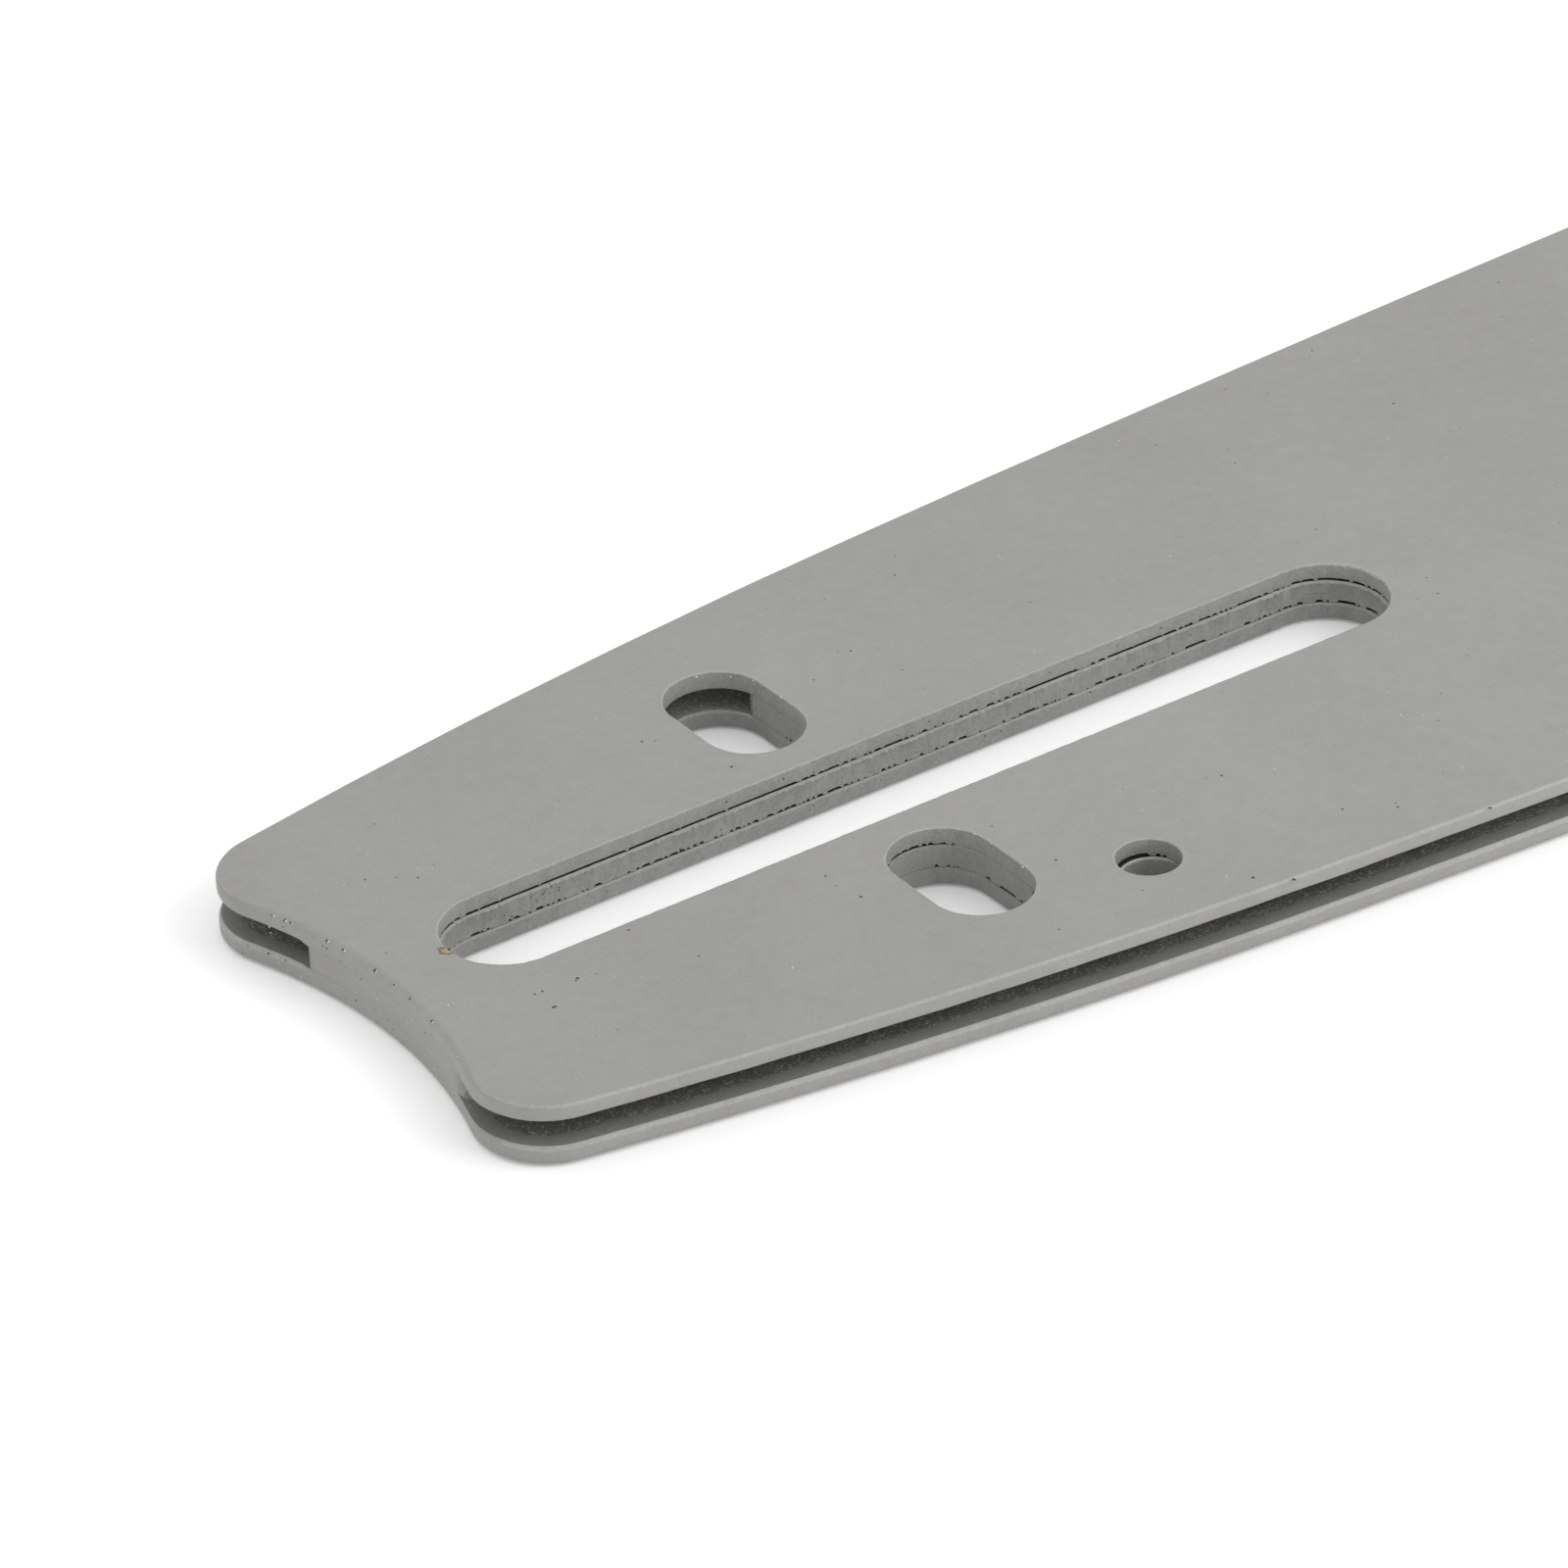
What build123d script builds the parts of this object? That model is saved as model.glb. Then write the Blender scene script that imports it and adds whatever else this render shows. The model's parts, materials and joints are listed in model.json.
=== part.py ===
"""Laminated sprocket-nose guide bar for a chainsaw.

Two rail plates are joined on each side of a core plate, whose smaller outline leaves the chain
groove all round. The tail has the stud slot, the two oblong holes for the chain adjuster
and the oil, one round oil hole, and a hollow end that clears the clutch drum. The nose has a
toothed sprocket between the rails, which runs on loose rollers round a riveted inner race.

Frame: the bar lies on its lower rail plate, +Z up and +X towards the nose. The origin is midway
between the two oblong holes, on the underside. Lengths are in millimetres.
"""

import os
from math import asin, cos, floor, hypot, pi, radians, sin, sqrt

from build123d import *

# Outline of the rail plates
nose_reach = 394.0  # from the oblong holes to the tip of the nose rails
bar_width = 62.7  # across the widest place
widest_x = 177.0  # where the bar is widest
nose_radius = 22.0
tail_side_start_x = 18.9  # where the long side arc passes into the tighter tail side arc
tail_side_radius = 445.0
tail_reach = 33.7  # from the oblong holes to the bottom of the hollow tail end
tail_hollow_radius = 35.8
tail_corner_radius = 5.0

# Sheet thicknesses, and the broken edges of the rails
rail_thickness = 1.2
groove_width = 1.6  # also the thickness of the core plate
rail_edge_break = 0.3  # round the outline, on the outer faces only
hole_edge_break = 0.15  # at both ends of each hole, so that a fine joint line shows in its wall

# Core plate
groove_depth = 6.5
core_tail_end_far_y = 7.3  # the core's corner on the hollow tail end, +Y side
core_tail_end_near_y = 10.4  # the same on the -Y side
groove_flare_x = -12.0  # towards the tail from here the groove gets deeper for the entering chain
oil_notch_floor_y = 14.8  # a notch in the core's edge joins each oblong hole to the groove
oil_notch_width = 14.0

# Holes of the mount
stud_slot_width = 8.2
stud_slot_tail_x = -25.0  # centre of its round tail end
stud_slot_centres = 62.6  # between the centres of its round ends
oblong_spacing = 23.75
oblong_length = 10.68
oblong_width = 6.63
oil_hole_x = 9.8
oil_hole_y = -17.66
oil_hole_radius = 2.05

# Nose sprocket
sprocket_teeth = 10
tooth_proud = 1.4  # the tooth tips stand this far beyond the rails
tooth_depth = 7.8
gullet_radius = 2.8
flank_angle = 22.0  # degrees between a tooth flank and the gullet's own centre line
tooth_tip_radius = 0.8
pocket_clearance = 1.2  # between the tooth tips and the end of the core plate

# Nose bearing
race_radius = 8.45
roller_diameter = 2.4
bearing_clearance = 0.05  # radial, at the race and again at the sprocket's bore
roller_gap = 0.08  # least room between one roller and the next
side_clearance = 0.05  # between the rails and the faces of what turns

# Nose rivets
rivet_count = 3
rivet_circle_radius = 4.9
rivet_shank_radius = 1.8
rivet_head_radius = 2.6

# Worked out from the sizes above
bar_thickness = 2 * rail_thickness + groove_width
half_width = bar_width / 2
nose_x = nose_reach - nose_radius
hollow_x = -tail_reach - tail_hollow_radius
oblong_y = oblong_spacing / 2
slot_x = stud_slot_tail_x + stud_slot_centres / 2
turning_thickness = groove_width - 2 * side_clearance
tip_radius = nose_radius + tooth_proud
root_radius = tip_radius - tooth_depth
roller_circle_radius = race_radius + bearing_clearance + roller_diameter / 2
sprocket_bore_radius = roller_circle_radius + roller_diameter / 2 + bearing_clearance
roller_count = floor(pi / asin((roller_diameter + roller_gap) / 2 / roller_circle_radius))

# The long side arc is tangent to the nose arc, so its radius follows from the width and the reach
nose_run = nose_x - widest_x
side_radius = (nose_run**2 / (half_width - nose_radius) + nose_radius + half_width) / 2
side_centre = Vector(widest_x, half_width - side_radius)


def arc(centre, radius, start, end):
    """The arc round centre from the direction of start to that of end, both unit vectors."""
    middle = (start + end).normalized()
    return ThreePointArc(centre + start * radius, centre + middle * radius, centre + end * radius)


def outline(inset):
    """The bar's outline, moved inwards by inset, with its tail still square."""
    nose_centre = Vector(nose_x, 0)
    to_nose = (nose_centre - side_centre).normalized()
    join_slope = (tail_side_start_x - widest_x) / side_radius
    to_join = Vector(join_slope, sqrt(1 - join_slope**2))
    tail_centre = side_centre + to_join * (side_radius - tail_side_radius)
    end_slope = (hollow_x - tail_centre.X) / tail_side_radius
    to_end = Vector(end_slope, sqrt(1 - end_slope**2))
    half = [
        arc(tail_centre, tail_side_radius - inset, to_end, to_join),
        arc(side_centre, side_radius - inset, to_join, to_nose),
        arc(nose_centre, nose_radius - inset, to_nose, Vector(1, 0)),
    ]
    other_half = [edge.mirror(Plane.XZ) for edge in half]
    tail_line = Line(half[0] @ 0, other_half[0] @ 0)
    return make_face(half + other_half + [tail_line])


def mount_holes():
    """The openings that pass through all three plates at the tail."""
    openings = Pos(slot_x, 0) * SlotCenterToCenter(stud_slot_centres, stud_slot_width)
    for y in (oblong_y, -oblong_y):
        openings += Pos(0, y) * SlotOverall(oblong_length, oblong_width, rotation=90)
    return openings + Pos(oil_hole_x, oil_hole_y) * Circle(oil_hole_radius)


def hollow_end():
    return Pos(hollow_x, 0) * Circle(tail_hollow_radius)


def rivet_places():
    return Pos(nose_x, 0) * PolarLocations(rivet_circle_radius, rivet_count)


def rivet():
    """One nose rivet: each end fills a countersink as deep as the rail plate and is ground flush."""
    profile = Polyline(
        (0, 0),
        (rivet_head_radius, 0),
        (rivet_shank_radius, rail_thickness),
        (rivet_shank_radius, rail_thickness + groove_width),
        (rivet_head_radius, bar_thickness),
        (0, bar_thickness),
        close=True,
    )
    return revolve(Plane.XZ * make_face(profile), Axis.Z)


def rivets():
    return [place * rivet() for place in rivet_places()]


def upper_rail_plate():
    """The rail plate on top of the core, with its broken edges on the outer face."""
    blank = outline(0) - hollow_end()
    tips = blank.vertices().group_by(Axis.X)[0]
    blank = fillet(tips, tail_corner_radius)
    plate = extrude(blank, rail_thickness)
    outer_face = plate.faces().sort_by(Axis.Z)[-1]
    plate = chamfer(outer_face.outer_wire().edges(), rail_edge_break)
    plate -= extrude(mount_holes(), rail_thickness)
    mouths = [
        edge
        for face in plate.faces().filter_by(Plane.XY)
        for wire in face.inner_wires()
        for edge in wire.edges()
    ]
    plate = chamfer(mouths, hole_edge_break)
    return Pos(0, 0, rail_thickness + groove_width) * plate - rivets()


def lower_rail_plate():
    """The upper rail plate's mirror image about the middle of the bar's thickness."""
    middle = Plane.XY.offset(bar_thickness / 2)
    return mirror(upper_rail_plate(), about=middle)


def tail_flares():
    """The corners that are cut off the core plate where the chain enters the groove."""
    inner = outline(groove_depth)
    shapes = []
    for side, end_y in ((1, core_tail_end_far_y), (-1, core_tail_end_near_y)):
        end_x = hollow_x + sqrt(tail_hollow_radius**2 - end_y**2)
        edge_y = section_half_width(inner, groove_flare_x)
        rise = (edge_y - end_y) / (groove_flare_x - end_x)
        start_y = end_y + rise * (hollow_x - end_x)
        shapes.append(
            Polygon(
                (hollow_x, side * start_y),
                (groove_flare_x, side * edge_y),
                (groove_flare_x, side * bar_width),
                (hollow_x, side * bar_width),
                align=None,
            )
        )
    return shapes


def section_half_width(face, x):
    """Half the width of a symmetric face at x."""
    cut = Line((x, -bar_width), (x, bar_width)) & face
    return cut.length / 2


def core_plate():
    """The middle plate: the groove's floor, the oil notches and the pocket for the sprocket."""
    core = outline(groove_depth) - hollow_end() - mount_holes()
    core -= Pos(nose_x, 0) * Circle(tip_radius + pocket_clearance)
    notch_depth = half_width - oil_notch_floor_y
    for side in (1, -1):
        notch_y = side * (oil_notch_floor_y + notch_depth / 2)
        core -= Pos(0, notch_y) * Rectangle(oil_notch_width, notch_depth)
    for flare in tail_flares():
        core -= flare
    return Pos(0, 0, rail_thickness) * extrude(core, groove_width)


def gullet():
    """The space between two teeth, on the +X axis: a round root with flanks that open outwards."""
    centre_x = root_radius + gullet_radius
    angle = radians(flank_angle)
    touch_x = centre_x - gullet_radius * sin(angle)
    touch_y = gullet_radius * cos(angle)
    mouth_x = tip_radius + gullet_radius
    mouth_y = touch_y + (mouth_x - touch_x) * sin(angle) / cos(angle)
    flanks = Polygon(
        (touch_x, touch_y),
        (touch_x, -touch_y),
        (mouth_x, -mouth_y),
        (mouth_x, mouth_y),
        align=None,
    )
    return Pos(centre_x, 0) * Circle(gullet_radius) + flanks


def nose_sprocket():
    blank = Circle(tip_radius) - Circle(sprocket_bore_radius)
    for turn in range(sprocket_teeth):
        blank -= Rot(0, 0, 360 * turn / sprocket_teeth) * gullet()
    tips = [v for v in blank.vertices() if hypot(v.X, v.Y) > tip_radius - tooth_tip_radius / 2]
    blank = fillet(tips, tooth_tip_radius)
    return Pos(nose_x, 0, rail_thickness + side_clearance) * extrude(blank, turning_thickness)


def nose_race():
    """The inner race, clamped between the rails by the rivets."""
    disc = Pos(nose_x, 0) * Circle(race_radius)
    for place in rivet_places():
        disc -= place * Circle(rivet_shank_radius)
    return Pos(0, 0, rail_thickness) * extrude(disc, groove_width)


def rollers():
    """The full ring of loose rollers between the race and the sprocket's bore."""
    roller = extrude(Circle(roller_diameter / 2), turning_thickness)
    centre = Pos(nose_x, 0, rail_thickness + side_clearance)
    return [centre * place * roller for place in PolarLocations(roller_circle_radius, roller_count)]


def main():
    nodes = {
        "lower_rail_plate": lower_rail_plate(),
        "core_plate": core_plate(),
        "upper_rail_plate": upper_rail_plate(),
        "nose_sprocket": nose_sprocket(),
        "nose_race": nose_race(),
        "nose_rivets": Compound(children=rivets()),
    }
    for number, roller in enumerate(rollers(), 1):
        nodes[f"nose_roller_{number:02d}"] = roller
    os.makedirs("parts", exist_ok=True)
    for name, shape in nodes.items():
        export_step(shape, f"parts/{name}.step")
    print(f"side arc {side_radius:.1f}, thickness {bar_thickness:.2f}, {roller_count} rollers")


if __name__ == "__main__":
    main()
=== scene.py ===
"""Dresses a laminated chainsaw guide bar: its painted plates, its steel nose, and the stage.

The three plates are made again with fine edges, rims and joint lines, on the outline of the frame.
Lengths are worked out in millimetres and brought to metres when a mesh is made.
"""

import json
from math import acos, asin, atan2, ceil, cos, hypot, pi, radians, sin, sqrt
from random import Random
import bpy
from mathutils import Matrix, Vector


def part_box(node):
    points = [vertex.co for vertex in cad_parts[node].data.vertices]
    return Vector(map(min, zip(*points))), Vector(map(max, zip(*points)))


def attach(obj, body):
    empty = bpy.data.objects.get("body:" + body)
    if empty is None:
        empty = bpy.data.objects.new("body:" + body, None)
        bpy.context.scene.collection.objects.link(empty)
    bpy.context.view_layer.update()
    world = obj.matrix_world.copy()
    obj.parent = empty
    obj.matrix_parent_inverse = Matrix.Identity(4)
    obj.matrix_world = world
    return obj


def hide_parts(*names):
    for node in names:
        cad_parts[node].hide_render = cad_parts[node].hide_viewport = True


bl_info = {
    "name": "Guide Bar Dresser",
    "version": (1, 0, 0),
    "blender": (4, 5, 0),
    "location": "View3D > Sidebar > Guide Bar",
    "description": "Makes the painted plates, the steel nose and the stage of a chainsaw guide bar",
    "category": "Add Mesh",
}

from types import SimpleNamespace

import bmesh
import bpy
from bpy.props import FloatProperty, FloatVectorProperty, IntProperty, PointerProperty
from mathutils import Matrix, Vector, geometry, noise

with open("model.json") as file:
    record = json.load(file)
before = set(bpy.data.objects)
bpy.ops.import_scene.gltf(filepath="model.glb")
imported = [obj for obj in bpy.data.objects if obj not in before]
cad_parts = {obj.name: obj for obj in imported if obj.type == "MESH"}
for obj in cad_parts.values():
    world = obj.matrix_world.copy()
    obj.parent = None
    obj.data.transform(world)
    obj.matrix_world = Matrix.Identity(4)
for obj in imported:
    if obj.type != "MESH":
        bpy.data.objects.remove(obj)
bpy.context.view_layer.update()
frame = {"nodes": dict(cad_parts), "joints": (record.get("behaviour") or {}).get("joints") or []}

MM = 0.001
UP = Vector((0, 0, 1))
RAIL_LOW, RAIL_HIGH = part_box("upper_rail_plate")
CORE_LOW, CORE_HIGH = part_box("core_plate")
SPROCKET_LOW, SPROCKET_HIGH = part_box("nose_sprocket")
NOSE_CENTRE = next(Vector(j["pos_m"]) for j in frame["joints"] if j["name"] == "sprocket_spin")
ROLLERS = sorted(name for name in frame["nodes"] if name.startswith("nose_roller_"))


def length(name, description, millimetres):
    """A length property, with its default given in millimetres."""
    return FloatProperty(
        name=name,
        description=description,
        default=millimetres * MM,
        precision=6,
        subtype="DISTANCE",
        unit="LENGTH",
    )


def angle(name, description, degrees):
    """An angle property, with its default given in degrees."""
    return FloatProperty(
        name=name, description=description, default=radians(degrees), subtype="ANGLE", unit="ROTATION"
    )


def number(name, description, value):
    return FloatProperty(name=name, description=description, default=value, precision=4)


def colour(name, description, red, green, blue):
    """A colour property, given as the screen shows it, from 0 to 255."""
    return FloatVectorProperty(
        name=name,
        description=description,
        default=[linear(value) for value in (red, green, blue)],
        size=3,
        min=0,
        max=1,
        subtype="COLOR",
    )


def linear(value):
    """A screen value from 0 to 255 as the light that it stands for."""
    share = value / 255
    return share / 12.92 if share <= 0.04045 else ((share + 0.055) / 1.055) ** 2.4


class BarOutline(bpy.types.PropertyGroup):
    """The outline of the rail plates and how their edges are broken."""

    widest_x: length("Widest place", "Where along the bar it is widest", 177.0)
    nose_radius: length("Nose radius", "Radius of the rails round the nose", 22.0)
    tail_side_start_x: length("Tail arc start", "Where the side passes into its tighter tail arc", 18.9)
    tail_side_radius: length("Tail arc radius", "Radius of the side near the tail", 445.0)
    tail_reach: length("Tail reach", "From the oblong holes to the bottom of the hollow end", 33.76)
    tail_hollow_radius: length("Hollow radius", "Radius of the hollow tail end", 35.8)
    hollow_shift: length("Hollow shift", "How far its middle lies towards the near side", 0.3)
    far_corner_radius: length("Far corner", "Radius of the tail corner on the far side", 4.9)
    near_corner_radius: length("Near corner", "Radius of the tail corner on the near side", 4.8)
    outer_edge: length("Outer edge", "Rounding of the upper rail's outer edge under the paint", 0.28)
    foot_edge: length("Foot edge", "Rounding of the lower rail's edge at the floor", 0.28)
    upper_bevel_height: length("Upper bevel height", "Bevel on the upper rail's edge at the groove", 0.26)
    upper_bevel_depth: length("Upper bevel depth", "How far that bevel runs inwards", 0.4)
    lower_bevel_height: length("Lower bevel height", "Bevel on the lower rail's edge at the groove", 0.26)
    lower_bevel_depth: length("Lower bevel depth", "How far that bevel runs inwards", 0.17)
    hollow_edge: length("Hollow edge", "Rounding of the hollow end's outer edges", 0.5)


class BarOpenings(bpy.types.PropertyGroup):
    """The stud slot, the two oblong holes and the oil hole."""

    slot_width: length("Slot width", "Across the stud slot", 8.2)
    slot_tail_x: length("Slot tail", "Centre of the slot's round tail end", -25.0)
    slot_centres: length("Slot centres", "Between the centres of the slot's round ends", 62.6)
    oblong_spacing: length("Oblong spacing", "Between the two oblong holes", 23.75)
    oblong_length: length("Oblong length", "Length of an oblong hole, across the bar", 10.68)
    oblong_width: length("Oblong width", "Width of an oblong hole", 6.63)
    oil_x: length("Oil hole along", "Place of the oil hole along the bar", 9.8)
    oil_y: length("Oil hole across", "Place of the oil hole across the bar", -17.66)
    oil_radius: length("Oil hole radius", "Radius of the oil hole", 2.05)
    oil_shift: length("Oil hole shift", "How far the core's oil hole lies nearer the edge", 0.3)
    rim: length("Rim", "Rounding of the holes' rims", 0.1)
    foot: length("Foot", "Rounding of the holes' edges at the floor", 0.1)
    lip: length("Lip", "Rounding of a plate's edge under a joint line", 0.08)
    ledge: length("Ledge", "How far the core's edge stands out under the upper joint line", 0.16)
    crack_depth: length("Joint depth", "How deep the open stretches of a joint line are", 0.5)
    crack_height: length("Joint height", "How high the open stretches of a joint line are", 0.2)
    fat_edge: length("Fat edge", "How far the paint stands up beside a rim", 0.025)


class BarCore(bpy.types.PropertyGroup):
    """The core plate between the rails."""

    groove_depth: length("Groove depth", "From the rails' outline to the core's edge", 6.5)
    far_end_y: length("Far end", "The core's corner on the hollow end, on the far side", 7.15)
    near_end_y: length("Near end", "The core's corner on the hollow end, on the near side", 11.2)
    end_round: length("End rounding", "How far the core's corner on the near side is rounded", 1.8)
    flare_x: length("Flare", "Where the groove starts to get deeper towards the tail", -12.0)
    notch_floor_y: length("Notch floor", "How near the centreline the oil notches reach", 14.8)
    notch_width: length("Notch width", "Width of an oil notch", 14.0)
    pocket_clearance: length("Pocket clearance", "Between the tooth tips and the core", 1.2)


class BarNose(bpy.types.PropertyGroup):
    """The sprocket, its rollers and the rivets."""

    teeth: IntProperty(name="Teeth", description="Number of teeth on the nose sprocket", default=10)
    tooth_depth: length("Tooth depth", "From the tooth tips to the bottom of a gullet", 7.8)
    gullet_radius: length("Gullet radius", "Radius at the bottom of a gullet", 2.8)
    flank: angle("Flank angle", "Between a tooth flank and its gullet's centre line", 22.0)
    tip_radius: length("Tip radius", "Rounding of a tooth's corners", 0.8)
    tooth_edge: length("Tooth edge", "Chamfer along the tooth outline", 0.12)
    bore_radius: length("Bore radius", "Radius of the sprocket's bore", 10.95)
    roller_circle: length("Roller circle", "Radius of the circle of the rollers' centres", 9.7)
    roller_radius: length("Roller radius", "Radius of one roller", 1.2)
    roller_edge: length("Roller edge", "Rounding of a roller's ends", 0.15)
    rivets: IntProperty(name="Rivets", description="Number of nose rivets", default=3)
    rivet_circle: length("Rivet circle", "Radius of the circle of the rivets", 4.9)
    rivet_head: length("Rivet head", "Radius of a rivet's head", 2.6)
    rivet_shank: length("Rivet shank", "Radius of a rivet's shank", 1.8)


class BarFinish(bpy.types.PropertyGroup):
    """Colours and textures of the paint and the steel."""

    paint: colour("Paint", "Semi-matt grey paint of the plates", 151.2, 150.8, 147)
    # the lighter colour over the rounded edges, rims and bevels is a painted highlight
    edge: colour("Edge highlight", "Thin paint over the rounded edges, lighter than the rest", 163, 163, 161)
    groove: colour("Groove paint", "Paint on the rails' faces inside the groove", 133, 133, 130)
    rough: colour("Core edge paint", "Rougher paint on the core's edge", 113, 113, 110)
    wall: colour("Wall paint", "Paint on the walls of the holes", 148, 148, 146)
    steel: colour("Steel", "Ground steel of the nose", 188, 187, 184)
    primer: colour("Bare patch", "Beige patch where the paint is chipped", 165, 151, 133)
    rust: colour("Rust", "Brown stain round the chip", 112, 94, 80)
    # painted shade of the pits: flat dark beads sit where the pits' shade falls
    pit_shade: colour("Pit", "Dark pits in the paint", 62, 62, 60)
    # the nibs are real beads of paint; their lighter colour, also used on the core's ledges, is a painted
    # highlight
    nib: colour("Nib", "Light nibs in the paint", 190, 191, 187)
    # near-black painted shade on the open joints' inner faces and on the strip beyond each lip, where
    # only shade falls
    gap: colour("Gap", "Inside of the open joints between the plates", 30, 29, 28)
    paint_roughness: number("Paint roughness", "Roughness of the paint", 0.46)
    grain: length("Paint grain", "Size of the paint's finest grain", 0.2)
    peel: length("Orange peel", "Size of the waves in the paint", 0.9)
    peel_height: length("Peel height", "Height of the waves in the paint", 0.012)
    grain_height: length("Grain height", "Height of the paint's grain", 0.014)
    tone_spread: number("Tone spread", "How far the paint's tone departs from its colour", 0.324)
    paint_gloss: number("Paint gloss", "Strength of the paint's shine, where 0.5 is usual", 0.2)
    steel_roughness: number("Steel roughness", "Roughness of the ground steel", 0.59)
    grinding: length("Grinding lines", "Between the grinding lines in the steel", 0.12)
    rivet_lines: length("Rivet lines", "Between the grinding lines in the rivets", 0.3)
    scratch_height: length("Scratch height", "Height of the grinding lines", 0.004)


class BarStage(bpy.types.PropertyGroup):
    """The camera, the floor and the light."""

    target_x: length("Target along", "Point at the middle of the picture, along the bar", -2.515)
    target_y: length("Target across", "Point at the middle of the picture, across the bar", 2.97)
    distance: length("Distance", "From the camera to that point", 494.53)
    heading: angle("Heading", "Direction of view over the floor, from +X towards +Y", 55.80)
    dip: angle("Dip", "How far the camera looks down", 31.468)
    roll: angle("Roll", "How far the camera is turned about its line of view", -2.30)
    lens: number("Lens", "Focal length in millimetres on a 36 mm sensor", 185.06)
    floor: colour("Floor", "Pale floor and background", 255, 255, 255)
    sky: number("Sky", "Strength of the light from all round", 0.9)
    key_power: number("Key lamp", "Power of the soft lamp over the near side, in watts", 0.73)
    key_size: length("Key lamp size", "Side of the square lamp", 350.0)
    key_x: length("Key lamp along", "Place of the lamp along the bar", 235.0)
    key_y: length("Key lamp across", "Place of the lamp across the bar", -300.0)
    key_z: length("Key lamp height", "Height of the lamp", 250.0)
    white: number("White share", "How much plain white is added to the floor's look", 0.14)
    floor_gap: length("Floor gap", "How far the floor lies under the bar, which is not quite flat", 0.22)
    floor_size: length("Floor size", "Side of the floor", 8000.0)


def sizes(group):
    """The values of a property group, with its lengths in millimetres."""
    values = {}
    for key, prop in group.bl_rna.properties.items():
        if key not in ("rna_type", "name"):
            value = getattr(group, key)
            values[key] = value / MM if getattr(prop, "unit", "NONE") == "LENGTH" else value
    return SimpleNamespace(**values)


class Station:
    """A point of an outline, with the direction into the material on the left of the way."""

    def __init__(self, x, y, inward_x, inward_y):
        self.x = x
        self.y = y
        self.inward = (inward_x, inward_y)

    def moved(self, inset, z):
        return Vector((self.x + inset * self.inward[0], self.y + inset * self.inward[1], z))


def arc(centre, radius, start, end, step):
    """Stations from angle start up to end, in radians. A way round to the right has end below start."""
    turn = end - start
    count = max(3, ceil(abs(turn) * radius / step), ceil(abs(turn) / radians(4)))
    side = -1 if turn > 0 else 1
    stations = []
    for i in range(count):
        a = start + turn * i / count
        x, y = cos(a), sin(a)
        stations.append(Station(centre[0] + radius * x, centre[1] + radius * y, side * x, side * y))
    return stations


def line(start, end, step):
    """Stations from start up to end along a straight line."""
    along = Vector(end) - Vector(start)
    count = max(1, ceil(along.length / step))
    left = Vector((-along.y, along.x)).normalized()
    stations = []
    for i in range(count):
        point = Vector(start) + along * i / count
        stations.append(Station(point.x, point.y, left.x, left.y))
    return stations


def oblong(start, end, radius, step):
    """A hole with round ends centred on start and end, taken to the right."""
    along = (Vector(end) - Vector(start)).normalized()
    left = Vector((-along.y, along.x)) * radius
    a = atan2(left.y, left.x)
    return (
        line(Vector(start) + left, Vector(end) + left, step)
        + arc(end, radius, a, a - pi, step)
        + line(Vector(end) - left, Vector(start) - left, step)
        + arc(start, radius, a - pi, a - 2 * pi, step)
    )


def circle(centre, radius, step):
    """A round hole, taken to the right."""
    return arc(centre, radius, 0, -2 * pi, step)


def meeting(centre_a, radius_a, centre_b, radius_b):
    """The point of two circles with the larger y."""
    a, b = Vector(centre_a), Vector(centre_b)
    apart = (b - a).length
    along = (radius_a**2 - radius_b**2 + apart**2) / (2 * apart)
    across = sqrt(radius_a**2 - along**2)
    unit = (b - a) / apart
    foot = a + unit * along
    normal = Vector((-unit.y, unit.x)) * across
    return max(foot + normal, foot - normal, key=lambda p: p.y)


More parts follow.
